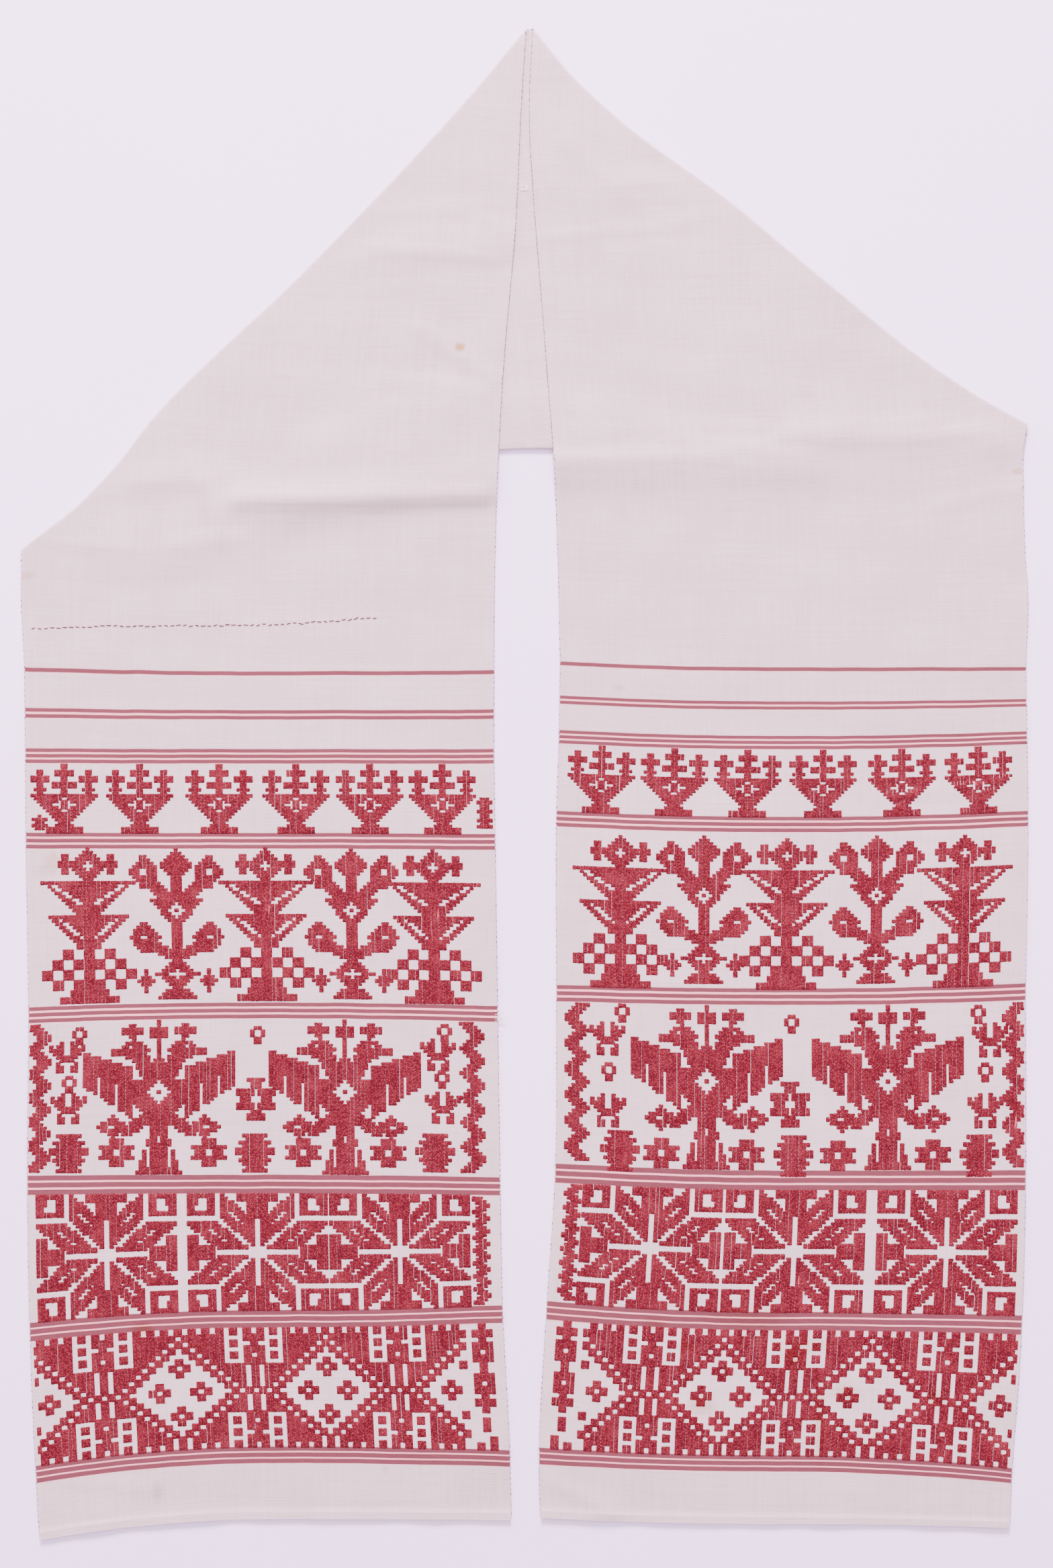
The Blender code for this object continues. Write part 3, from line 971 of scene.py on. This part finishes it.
# %% The star: eight petals round a middle, with four arms and four corner pieces
def star():
    across, down = np.indices((17, 21))[::-1] + 0.5
    across, down = across / 21, down / 17
    far, near = np.maximum(across, down), np.minimum(across, down)
    slant = far - near
    petal = (near > 0.07) & (near < 0.52) & (slant > 0.07) & (slant < 0.5)
    vein = (abs(slant - 0.28) < 0.04) & (near > 0.17) & (near < 0.42)
    arm = (near < 0.12) & (far > 0.6) | (near < 0.3) & (abs(far - 0.92) < 0.06)
    corner = (near > 0.62) & ~((abs(near - 0.78) < 0.06) & (far < 0.92))
    marks = (petal & ~vein) | arm | corner
    quarter = ["".join(".#"[mark] for mark in line[::-1]) for line in marks.tolist()]
    half = "\n".join(quarter[::-1] + quarter)
    return whole_chart(half, odd=False)


BOWL = footed_bowl()
TREE = tree()
SPRAY = spray()
EAGLE = eagle()
STAR = star()


# %% Small figures that stand between the large ones
BARREL = whole_chart("""
..####
...###
.#####
..####
######
######
..####
.#####
..####
...###
..####
""", odd=True)
ROSETTE = whole_chart("""
...##
...##
#####
.###.
.###.
#####
...##
...##
""", odd=False)
FLOWER = whole_chart("""
...###
....##
....##
#####.
#####.
.###..
.###..
#####.
#####.
....##
...###
...###
""", odd=True)
RING = whole_chart("""
.#
#.
#.
.#
.#
""", odd=False)
BUTTERFLY = whole_chart("""
...#.
#.##.
####.
.###.
..###
...##
..#..
..##.
..##.
""", odd=False)
SPRIG = whole_chart("""
..#
###
.##
###
.##
""", odd=True)
TOWER = whole_chart("""
.##
###
.##
.##
###
.##
.##
###
.##
###
""", odd=True)

# %% [markdown]
# The lozenge lattice of the lowest row is drawn on squares of two ribs by two: the half chart runs
# from the middle of a pillar to the middle of a lozenge, and repeats three times across the cloth.

# %% The lattice of lozenges and pillars
LATTICE = """
.#.#.#.#.#.#
##...######.
#..#.#####.#
##...####.#.
.#.#.###.#..
##...##.#..#
#.####.#..#.
#.###.#....#
#.##.#......
#.#.#...#...
.#.#...#.#..
#.#.#...#...
#.##.#......
#.###.#....#
##...#.#..#.
.#.#.##.#..#
##...###.#..
#..#.####.#.
##...#####.#
.#.#.#.#.#.#
""".split()
CHAIN = """
.#.
###
.#.
###
#.#
###
.#.
.#.
###
#.#
###
.#.
###
.#.
...
.#.
.#.
...
#..
#.#
""".split()

# %% Zigzag borders
def zigzag(rows, offsets, thick):
    """A bar of this thickness that steps from side to side as the offsets say."""
    wide = max(offsets) + thick
    lines = []
    for row in range(rows):
        gap = offsets[row % len(offsets)]
        lines.append("." * gap + "#" * thick + "." * (wide - gap - thick))
    return lines


ZIGZAG = zigzag(43, (0, 1, 2, 3, 3, 2, 1), 4)
NARROW_ZIGZAG = zigzag(33, (0, 1, 2, 1), 3)
for label, chart in (("bowl", BOWL), ("tree", TREE), ("spray", SPRAY), ("eagle", EAGLE), ("star", STAR)):
    print(f"{label}: {len(chart[0])} columns, {len(chart)} rows, {len(rib_runs(chart))} ribs")

# %% [markdown]
# ## Where the figures stand
# Each row of figures hangs from a height above the hem, with its own size of rib. A figure's
# place is the rib at its middle, counted from the outer selvedge, and how many rows it starts
# below the top of its band. The weaver kept the two ends nearly alike.

# %% Rows of figures
# Columns: top_mm, rib_mm, row_mm.
BOWL_ROW = (607.3, 2.45, 2.45)
TREE_ROW = (537.7, 2.83, 2.68)
RIGHT_TREE_ROW = (533.5, 2.83, 2.60)
EAGLE_ROW = (401.2, 2.85, 2.81)
STAR_ROW = (261.4, 2.67, 2.77)
LATTICE_ROW = (152.4, 2.72, 2.38)

# Columns: chart, middle_mm, rows_down.
LEFT_BOWLS = tuple((BOWL, place, 0) for place in (31, 92, 156.5, 219, 279, 338))
RIGHT_BOWLS = tuple((BOWL, place, 0) for place in (39.5, 101.5, 165.5, 226.5, 286, 345))
LEFT_FIGURES = {
    "bowls": (BOWL_ROW, LEFT_BOWLS + ((SPRIG, 11, 17), (TOWER, 372, 11))),
    "trees": (TREE_ROW, (
        (TREE, 49.5, -0.6), (SPRAY, 121, -0.3), (TREE, 193.5, -0.6), (SPRAY, 263, -0.3), (TREE, 329.5, -0.3),
    )),
    "eagles": (EAGLE_ROW, (
        (ZIGZAG, 8, 0.3), (RING, 41, 1.5), (BUTTERFLY, 31, 5.5), (RING, 33, 15.5), (BUTTERFLY, 32.5, 20.5),
        (BARREL, 33, 32.5), (EAGLE, 105.5, 0), (ROSETTE, 71.5, 33.8), (ROSETTE, 146, 33.8),
        (RING, 185.5, 2), (FLOWER, 184, 16.7), (BARREL, 183, 32.5), (EAGLE, 256, 0),
        (ROSETTE, 222, 33.8), (ROSETTE, 290.5, 33.8), (BARREL, 328.5, 32), (RING, 337, 0.8),
        (BUTTERFLY, 331.5, 5), (RING, 334.5, 14), (BUTTERFLY, 335, 20), (ZIGZAG, 359, 0),
    )),
    "stars": (STAR_ROW, (
        (STAR, 63, 0), (STAR, 184.5, 0), (STAR, 299, 0), (NARROW_ZIGZAG, 364.5, 0.5),
    )),
}
RIGHT_FIGURES = {
    "bowls": (BOWL_ROW, RIGHT_BOWLS),
    "trees": (RIGHT_TREE_ROW, (
        (TREE, 50.5, 0), (SPRAY, 121.5, -0.6), (TREE, 194, 0), (SPRAY, 261, -0.6), (TREE, 328.5, 0),
    )),
    "eagles": (EAGLE_ROW, (
        (ZIGZAG, 8.5, 0.3), (RING, 38, 0.6), (BUTTERFLY, 28.5, 5.5), (RING, 32.5, 16), (BUTTERFLY, 32.5, 24),
        (BARREL, 37.5, 34.8), (EAGLE, 111.5, 0), (ROSETTE, 75, 36), (ROSETTE, 152, 36.2),
        (RING, 189.5, 2.5), (FLOWER, 191, 20.5), (BARREL, 188, 34.8), (EAGLE, 258.5, 0),
        (ROSETTE, 226, 36), (ROSETTE, 295, 36), (BARREL, 328.5, 34.3), (RING, 327, 0),
        (BUTTERFLY, 339, 5), (RING, 338, 16), (BUTTERFLY, 338.5, 24.5), (ZIGZAG, 363.5, 0),
    )),
    "stars": (STAR_ROW, (
        (STAR, 62.5, 0), (STAR, 185, 0), (STAR, 301, 0), (NARROW_ZIGZAG, 365.5, 0.2),
    )),
}

# The lattice: where its pillars stand, and the chain that closes it at the inner selvedge.
PILLARS_MM = (57.5, 179.5, 294.5)
LATTICE_HALF = 11
CHAIN_MM = 363
LATTICE_END_MM = 352

# %% [markdown]
# ## Laying the yarn
# A run of marks in one column becomes one rib: a small grid of faces, a rib wide and a run long.
# Its middle is lifted, its sides are pushed a little into the cloth and its ends are drawn in, so
# it reads as soft yarn held down by a thread on both sides. The open bottom is closed with one
# face, because every shell should be a closed body.

# %% Ribs of yarn
RIB_CELLS = 4
RIB_ACROSS = (-1.0, -0.8, 0.0, 0.8, 1.0)
RIB_PROFILE = (0.0, 0.82, 1.0, 0.82, 0.0)
RIB_LIFT = 0.00050
RIB_SINK = 0.00004
RIB_FILL = 1.07
END_CELL = 0.18
END_WIDTH = 0.86
LOBE = 0.06
SELVEDGE_CLEAR = 0.0008
# Columns: across, up, wide, tall, rows, open_low_side, open_high_side.
rng = np.random.default_rng(7)


def open_sides(chart, index, start, end):
    """For each mark of a run, from the lowest up, whether the place on either side is empty."""
    found = []
    for step in (-1, 1):
        beside = index + step
        inside = 0 <= beside < len(chart[0])
        marks = [not inside or chart[row][beside] != "#" for row in range(end - 1, start - 1, -1)]
        found.append(np.array(marks, float))
    return found


def figure_ribs(row_sizes, figures):
    """Every rib of a row of figures: (across, up, width, length, rows) in metres."""
    top, rib, row = (value / 1000 for value in row_sizes)
    ribs = []
    for chart, middle, down in figures:
        first = middle / 1000 - len(chart[0]) * rib / 2
        for index, start, end in rib_runs(chart):
            across = first + (index + 0.5) * rib
            if SELVEDGE_CLEAR + rib / 2 < across < WIDTH - SELVEDGE_CLEAR - rib / 2:
                up = top - (down + (start + end) / 2) * row
                rib_size = (rib, (end - start) * row, end - start)
                ribs.append((across - WIDTH / 2, up, *rib_size, *open_sides(chart, index, start, end)))
    return ribs


def lattice_ribs():
    """The lattice's squares are two ribs wide and two rows high, spread between its pillars."""
    top, _, row = (value / 1000 for value in LATTICE_ROW)
    units = [LATTICE_HALF * 2 * index for index in range(len(PILLARS_MM))]
    pitch = np.diff(PILLARS_MM) / (2 * LATTICE_HALF)
    ribs = []

    def add_column(chart, index, middle, wide):
        for column_index, start, end in rib_runs(chart):
            if column_index != index:
                continue
            up = top - (start + end) * row
            sides = open_sides(chart, index, start, end)
            low_open, high_open = (np.repeat(side, 2) for side in sides)
            shut = np.zeros(len(low_open))
            for side, opened in ((-0.25, (low_open, shut)), (0.25, (shut, high_open))):
                across = middle + side * wide
                if SELVEDGE_CLEAR + wide / 4 < across < WIDTH - SELVEDGE_CLEAR - wide / 4:
                    rib_size = (wide / 2, 2 * (end - start) * row, 2 * (end - start))
                    ribs.append((across - WIDTH / 2, up, *rib_size, *opened))

    first = -LATTICE_HALF - 1
    span = range(first, units[-1] + LATTICE_HALF)
    turns = [abs((unit + LATTICE_HALF) % (2 * LATTICE_HALF) - LATTICE_HALF) for unit in span]
    lattice = ["".join(line[turn] for turn in turns) for line in LATTICE]
    for unit in span:
        near = min(max(unit, 0), units[-1] - 1)
        low = near // (2 * LATTICE_HALF)
        wide = pitch[low] / 1000
        middle = PILLARS_MM[low] / 1000 + (unit - units[low]) * wide
        if middle < LATTICE_END_MM / 1000:
            add_column(lattice, unit - first, middle, wide)
    chain = [line[::-1] for line in CHAIN]
    for index in range(3):
        wide = pitch[-1] / 1000
        add_column(chain, index, CHAIN_MM / 1000 + (index - 1) * wide, wide)
    return ribs


def rib_steps(rows):
    """Places along a rib, in rows from its lower end: the ends get a short extra step."""
    middle = [index / 2 for index in range(1, 2 * rows)]
    return [0.0, END_CELL] + middle + [rows - END_CELL, float(rows)]


def opened(rows, marks):
    """How open a rib's side is at each of its steps: a joint takes the less open of its two marks."""
    joints = np.minimum(marks[1:], marks[:-1])
    middle = np.empty(2 * rows - 1)
    middle[0::2] = marks
    middle[1::2] = joints
    return np.concatenate(([marks[0], marks[0]], middle, [marks[-1], marks[-1]]))


def lay_ribs(name, leg, ribs, material, reach):
    """Builds the ribs of one row of figures. The yarn spreads by reach where it has room."""
    bm = bmesh.new()
    for rib in ribs:
        bmesh.ops.create_grid(bm, x_segments=RIB_CELLS, y_segments=2 * rib[4] + 2, size=0.5)
    ridge_layer = bm.verts.layers.float.new("ridge")
    tone_layer = bm.verts.layers.float.new("tone")
    steps = {rows: np.array(rib_steps(rows)) for rows in sorted({rib[4] for rib in ribs})}
    counts = [(RIB_CELLS + 1) * (2 * rib[4] + 3) for rib in ribs]
    owner = np.repeat(np.arange(len(ribs)), counts)
    side = np.concatenate([np.tile(RIB_ACROSS, 2 * rib[4] + 3) for rib in ribs])
    profile = np.concatenate([np.tile(RIB_PROFILE, 2 * rib[4] + 3) for rib in ribs])
    rows_up = np.concatenate([np.repeat(steps[rib[4]], RIB_CELLS + 1) for rib in ribs])
    low_open = np.concatenate([np.repeat(opened(rib[4], rib[5]), RIB_CELLS + 1) for rib in ribs])
    high_open = np.concatenate([np.repeat(opened(rib[4], rib[6]), RIB_CELLS + 1) for rib in ribs])
    across, up, wide, tall, rows = np.array([rib[:5] for rib in ribs])[owner].T
    from_end = np.minimum(rows_up, rows - rows_up)
    lobe = 0.5 - 0.5 * np.cos(2 * math.pi * rows_up)
    spread = rng.uniform(0.95, 1.05, len(ribs))[owner]
    lift = rng.uniform(0.85, 1.15, len(ribs))[owner]
    shift = rng.normal(0, 0.00008, len(ribs))[owner]
    stretch = 1 + rng.uniform(-0.06, 0.10, len(ribs))[owner] / rows
    inward = np.interp(from_end, (0, END_CELL, 0.5), (END_WIDTH, 0.98, 1.0))
    inward = inward * (1 - LOBE * (1 - lobe) * (from_end > 0.4))
    crown = profile * np.interp(from_end, (0, END_CELL, 0.5), (0.0, 0.85, 1.0))
    height = THICK / 2 - RIB_SINK + (RIB_SINK + RIB_LIFT * lift * (0.88 + 0.12 * lobe)) * crown
    room = reach[0] * np.where(side < 0, low_open, high_open)
    flat_across = across + shift + side * (wide / 2 * RIB_FILL + room) * spread * inward
    flat_up = up + (rows_up / rows - 0.5) * (tall + 2 * reach[1]) * stretch
    tone = rng.uniform(0, 1, len(ribs))[owner]
    for index, vert in enumerate(bm.verts):
        vert.co = (leg.along_of(flat_up[index]), flat_across[index], height[index])
        vert[ridge_layer] = 1 - abs(side[index])
        vert[tone_layer] = tone[index]
    rims = [edge for edge in bm.edges if edge.is_boundary]
    bmesh.ops.edgeloop_fill(bm, edges=rims)
    fold_bmesh(bm)
    bmesh.ops.recalc_face_normals(bm, faces=bm.faces[:])
    return finished(bm, name, material, sharp=80)


# %% [markdown]
# The yarn's finish: thick soft weft, beaten in so that each pick shows as a small slanting bead.
# The beads come from a cell texture squeezed along the ribs; the hollows between them are
# darkened as painted shade, their tops are lightened as a painted highlight, broad patches are
# worn paler, and the thin binding thread at a rib's side is pale pink.

# %% Red yarn
# The deepest red is painted shade in the hollows between beads; the pale red is a painted highlight on the
# bead tops and also the colour of worn patches.
YARN_PAINTED_SHADE = (0.072, 0.005, 0.009, 1)
YARN_RED = (0.142, 0.016, 0.020, 1)
YARN_PALE_WEAR_AND_HIGHLIGHT = (0.330, 0.055, 0.062, 1)
YARN_BINDING = (0.58, 0.150, 0.140, 1)


def red_yarn():
    material, tree, shader, flat, place = start_material("red weft yarn", 0.95, 0.0)
    shader.inputs["Specular IOR Level"].default_value = 0.05
    ridge = tree.nodes.new("ShaderNodeAttribute")
    ridge.attribute_name = "ridge"
    tone = tree.nodes.new("ShaderNodeAttribute")
    tone.attribute_name = "tone"
    bead = tree.nodes.new("ShaderNodeTexVoronoi")
    turn = tree.nodes.new("ShaderNodeMapping")
    turn.inputs["Rotation"].default_value = (0, 0, math.radians(28))
    turn.inputs["Scale"].default_value = (1.0, 1.35, 1.0)
    feed(tree, turn.inputs["Vector"], flat)
    feed(tree, bead.inputs["Vector"], turn.outputs[0])
    bead.inputs["Scale"].default_value = 680
    bead.inputs["Randomness"].default_value = 0.55
    fibre = noise(tree, flat, 4200, 2, 0.6)
    fuzz = calc(tree, "MULTIPLY", calc(tree, "SUBTRACT", fibre, 0.5), 0.35)
    away = calc(tree, "ADD", bead.outputs["Distance"], fuzz)
    # Painted shade: the hollows between the beads are mixed towards the deepest red.
    red = mixed(tree, ramped(tree, away, 0.66, 0.34), YARN_PAINTED_SHADE, YARN_RED)
    # Painted highlight: the tops of the beads are mixed towards the pale red.
    red = mixed(tree, ramped(tree, away, 0.38, 0.08, 0.0, 0.85), red, YARN_PALE_WEAR_AND_HIGHLIGHT)
    worn = noise(tree, flat, 55, 4, 0.6)
    own_tone = calc(tree, "MULTIPLY", tone.outputs["Fac"], 0.08)
    worn = calc(tree, "ADD", calc(tree, "MULTIPLY", worn, 0.92), own_tone)
    red = mixed(tree, ramped(tree, worn, 0.42, 0.75, 0.0, 0.22), red, YARN_PALE_WEAR_AND_HIGHLIGHT)
    loose = noise(tree, scaled(tree, flat, (1.0, 0.35, 1.0)), 160, 3, 0.6)
    edge = ramped(tree, ridge.outputs["Fac"], 0.11, 0.04)
    edge = calc(tree, "MULTIPLY", edge, ramped(tree, loose, 0.50, 0.66, 0.06, 0.7))
    colour = mixed(tree, edge, red, YARN_BINDING)
    feed(tree, shader.inputs["Base Color"], aged(tree, colour, place))
    bumped(tree, shader, ramped(tree, away, 0.75, 0.0, smooth=False), 0.0003, 0.8)
    return material


# %% Both legs' figures
YARN_REACH = {
    "bowls": (0.0006, 0.0005),
    "trees": (0.0005, 0.0004),
    "eagles": (0.0006, 0.0005),
    "stars": (0.00085, 0.0009),
    "lattice": (0.0009, 0.0010),
}
RED_YARN = red_yarn()
for side_name, leg, rows in (("left", LEFT, LEFT_FIGURES), ("right", RIGHT, RIGHT_FIGURES)):
    for row_name, (row_sizes, figures) in rows.items():
        ribs = figure_ribs(row_sizes, figures)
        lay_ribs(f"{side_name}_{row_name}", leg, ribs, RED_YARN, YARN_REACH[row_name])
    lattice = lattice_ribs()
    lay_ribs(f"{side_name}_lattice", leg, lattice, RED_YARN, YARN_REACH["lattice"])

# %% [markdown]
# ## Edges and threads
# The selvedges are a row of small weft loops, the hems are whipped with a thick thread, and a
# line of running stitches crosses the left leg. Each is a thin tube swept along a path that is
# given on the flat cloth and then folded with it.

# %% Thread helpers
THREAD_SIDES = 1


def thread_material(name, colour, dark, turns):
    material = bpy.data.materials.new(name)
    material.use_nodes = True
    tree = material.node_tree
    shader = tree.nodes["Principled BSDF"]
    shader.inputs["Roughness"].default_value = 0.9
    shader.inputs["Specular IOR Level"].default_value = 0.1
    place = tree.nodes.new("ShaderNodeTexCoord").outputs["Object"]
    # The dots mix in the second colour: flecks of tone in most threads, and in the selvedge thread
    # near-black painted shadow.
    fleck_and_shadow_dots = ramped(tree, noise(tree, place, turns, 3, 0.7), 0.40, 0.62)
    feed(tree, shader.inputs["Base Color"], mixed(tree, fleck_and_shadow_dots, colour, dark))
    bumped(tree, shader, noise(tree, place, 3000, 2, 0.6), 0.0002)
    return material


def lay_threads(name, paths, radius, material):
    """Sweeps a round thread along each path of folded places, as one closed mesh."""
    guide = bpy.data.curves.new(name + "_guide", "CURVE")
    guide.dimensions = "3D"
    guide.bevel_depth = radius
    guide.bevel_resolution = THREAD_SIDES
    guide.use_fill_caps = True
    for path in paths:
        spline = guide.splines.new("POLY")
        spline.points.add(len(path) - 1)
        spline.points.foreach_set("co", np.column_stack([path, np.ones(len(path))]).ravel())
    helper = bpy.data.objects.new(name + "_guide", guide)
    bpy.context.scene.collection.objects.link(helper)
    graph = bpy.context.evaluated_depsgraph_get()
    swept = bpy.data.meshes.new_from_object(helper.evaluated_get(graph))
    bm = bmesh.new()
    bm.from_mesh(swept)
    bpy.data.objects.remove(helper)
    bpy.data.curves.remove(guide)
    bpy.data.meshes.remove(swept)
    bmesh.ops.remove_doubles(bm, verts=bm.verts[:], dist=0.000005)
    bmesh.ops.recalc_face_normals(bm, faces=bm.faces[:])
    piece = finished(bm, name, material)
    return piece


def waves(places, length, seed):
    """An irregular wave along a path, with the given wavelength, between -1 and 1."""
    random = np.random.default_rng(seed)
    drift = np.interp(places, np.arange(-0.01, places.max() + 0.02, 0.012),
                      np.cumsum(random.normal(0, 0.9, len(np.arange(-0.01, places.max() + 0.02, 0.012)))))
    return np.sin(2 * math.pi * places / length + drift)


# %% Selvedge loops
LOOP_STEP = 0.0011
LOOP_LENGTH = 0.0042
LOOP_OUT = 0.0008
LOOP_RADIUS = 0.00050
# Painted shadow: the selvedge thread is coloured deeper than the linen and dotted near-black, standing in
# for the small shadows the loops cast on the cloth beside them.
EDGE_THREAD_PAINTED_SHADOW = thread_material("selvedge thread", (0.56, 0.46, 0.39, 1), (0.07, 0.05, 0.05, 1), 300)

along = np.arange(0.004, LENGTH - 0.004, LOOP_STEP)
loops = []
for side, seed in ((-1, 3), (1, 4)):
    swing = waves(along, LOOP_LENGTH, seed)
    across = side * (WIDTH / 2 - 0.0003 + LOOP_OUT * swing)
    loops.append(fold(np.column_stack([along, across, 0.00015 * np.roll(swing, 1)])))
lay_threads("selvedge_loops", loops, LOOP_RADIUS, EDGE_THREAD_PAINTED_SHADOW)

# %% Whipped hems
HEM_STEP = 0.0009
WHIP_LENGTH = 0.0034
WHIP_RADIUS = 0.00055
HEM_THREAD = thread_material("hem thread", (0.45, 0.37, 0.30, 1), (0.22, 0.17, 0.14, 1), 260)
whips = []
across = np.arange(-WIDTH / 2 + 0.002, WIDTH / 2 - 0.002, HEM_STEP)
for leg, seed in ((LEFT, 5), (RIGHT, 6)):
    swing = waves(across + WIDTH / 2, WHIP_LENGTH, seed)
    along = leg.along_of(0.0022 + 0.0018 * swing)
    height = THICK / 2 + 0.0003 + 0.0001 * np.cos(across * 2000)
    whips.append(fold(np.column_stack([along, across, height])))
lay_threads("hem_whipping", whips, WHIP_RADIUS, HEM_THREAD)

# %% Running stitches on the left leg
STITCH_LINE = ((8, 712.5), (75, 718), (125, 720), (200, 720.5), (245, 723), (288, 726))
STITCH_PITCH = 0.0050
STITCH_LENGTH = 0.0034
STITCH_THREAD = thread_material("stitching thread", (0.115, 0.036, 0.038, 1), (0.055, 0.016, 0.018, 1), 500)
line_across, line_up = np.array(STITCH_LINE).T / 1000
random = np.random.default_rng(11)
stitches = []
for middle in np.arange(line_across[0], line_across[-1], STITCH_PITCH):
    half = STITCH_LENGTH / 2 * random.uniform(0.8, 1.2)
    across = middle + half * np.linspace(-1, 1, 5)
    slip, tilt = random.normal(0, 0.0003), random.normal(0, 0.0004)
    up = np.interp(across, line_across, line_up) + slip + tilt * np.linspace(-1, 1, 5)
    height = THICK / 2 + 0.00022 * (1 - np.linspace(-1.2, 1.2, 5) ** 2)
    stitches.append(fold(np.column_stack([LEFT.along_of(up), across - WIDTH / 2, height])))
lay_threads("running_stitches", stitches, 0.00040, STITCH_THREAD)

# %% Loose threads at the worn nick, and a small mend on the back strip
loose = []
FRAY = ((250.5, 3, 5.0), (252.5, -2, 8.0), (254.0, -3, 10.0), (256.0, 2, 7.0), (258.5, 3, 4.0))
for start, bend, length in FRAY:
    share = np.linspace(0, 1, 8)
    across = WIDTH / 2 - 0.002 + share * length / 1000
    up = 0.152 + start / 1000 + bend / 1000 * share**2
    height = THICK / 2 + 0.0002 + 0.0004 * share
    loose.append(fold(np.column_stack([LEFT.along_of(up), across, height])))
MEND_MIDDLE = (0.0, 0.4805)
MEND_THREAD = 0.0005
mend = []
for index in range(6):
    x = MEND_MIDDLE[0] + (index - 2.5) * 0.00095
    reach = 0.0020 if index in (2, 3) else 0.0026
    plan = np.column_stack([np.full(6, x), MEND_MIDDLE[1] + reach * np.linspace(-1, 1, 6)])
    height = back_height(plan) + THICK / 2 + 0.0003
    mend.append(np.column_stack([plan, height]))
slot_x = MEND_MIDDLE[0] + np.linspace(-0.0016, 0.0016, 5)
slot_plan = np.column_stack([slot_x, np.full(5, MEND_MIDDLE[1] + 0.0002)])
slot_path = [np.column_stack([slot_plan, back_height(slot_plan) + THICK / 2 + 0.0006])]
PALE_THREAD = thread_material("pale thread", (0.88, 0.78, 0.72, 1), (0.66, 0.56, 0.50, 1), 400)
lay_threads("loose_threads", loose, 0.00022, PALE_THREAD)
lay_threads("mend", mend, MEND_THREAD, PALE_THREAD)
# The slot across the mend takes the selvedge thread's finish, with its painted shadow dots.
lay_threads("mend_slot", slot_path, 0.0003, EDGE_THREAD_PAINTED_SHADOW)


# %% [markdown]
# ## Floor, light and camera
# The towel lies on a plain pale floor. A broad soft light from above keeps the colours even, and
# a gentler one from the side lets the creases show.

# %% Floor
FLOOR_COLOUR = (0.90, 0.80, 0.97, 1)
FLOOR_SIZE = 16.0


def floor_paint():
    material = bpy.data.materials.new("pale floor")
    material.use_nodes = True
    tree = material.node_tree
    shader = tree.nodes["Principled BSDF"]
    shader.inputs["Roughness"].default_value = 0.9
    shader.inputs["Specular IOR Level"].default_value = 0.2
    place = tree.nodes.new("ShaderNodeTexCoord").outputs["Object"]
    cloud = ramped(tree, noise(tree, place, 2.5, 3, 0.5), 0.3, 0.7, 0.97, 1.0)
    feed(tree, shader.inputs["Base Color"], mixed(tree, 1.0, FLOOR_COLOUR, cloud, "MULTIPLY"))
    return material


floor_mesh = bmesh.new()
bmesh.ops.create_grid(floor_mesh, x_segments=4, y_segments=4, size=FLOOR_SIZE / 2)
floor_data = bpy.data.meshes.new("floor")
floor_mesh.to_mesh(floor_data)
floor_mesh.free()
floor_data.materials.append(floor_paint())
floor = bpy.data.objects.new("floor", floor_data)
bpy.context.scene.collection.objects.link(floor)

# %% Lights
LIGHT_TINT = (0.95, 0.72, 1.0)


def area_light(name, place, target, size, power, colour):
    data = bpy.data.lights.new(name, "AREA")
    data.shape = "SQUARE"
    data.size = size
    data.energy = power
    data.color = colour
    light = bpy.data.objects.new(name, data)
    light.location = place
    aim = Vector(target) - Vector(place)
    light.rotation_euler = aim.to_track_quat("-Z", "Y").to_euler()
    bpy.context.scene.collection.objects.link(light)
    return light


area_light("key light", (-0.2, 4.5, 3.0), (0, 0, 0), 1.6, 1300, LIGHT_TINT)
area_light("top light", (0.2, 0.5, 2.6), (0, 0, 0), 2.2, 62, LIGHT_TINT)
area_light("side light", (-1.9, 1.5, 1.1), (0, 0, 0), 0.9, 40, LIGHT_TINT)
world = bpy.data.worlds.new("studio")
world.use_nodes = True
world.node_tree.nodes["Background"].inputs["Color"].default_value = (*LIGHT_TINT, 1)
world.node_tree.nodes["Background"].inputs["Strength"].default_value = 1.6
bpy.context.scene.world = world

# %% Camera
VIEW_WIDE = 0.8483
VIEW_HIGH = 1.2632
VIEW_MIDDLE = (0.0015, 0.0005)
CAMERA_HEIGHT = 3.2

camera_data = bpy.data.cameras.new("camera")
camera_data.sensor_fit = "VERTICAL"
camera_data.sensor_height = 36
camera_data.sensor_width = 36
camera_data.lens = 36 * CAMERA_HEIGHT / VIEW_HIGH
camera = bpy.data.objects.new("camera", camera_data)
camera.location = (*VIEW_MIDDLE, CAMERA_HEIGHT)
bpy.context.scene.collection.objects.link(camera)
bpy.context.scene.camera = camera
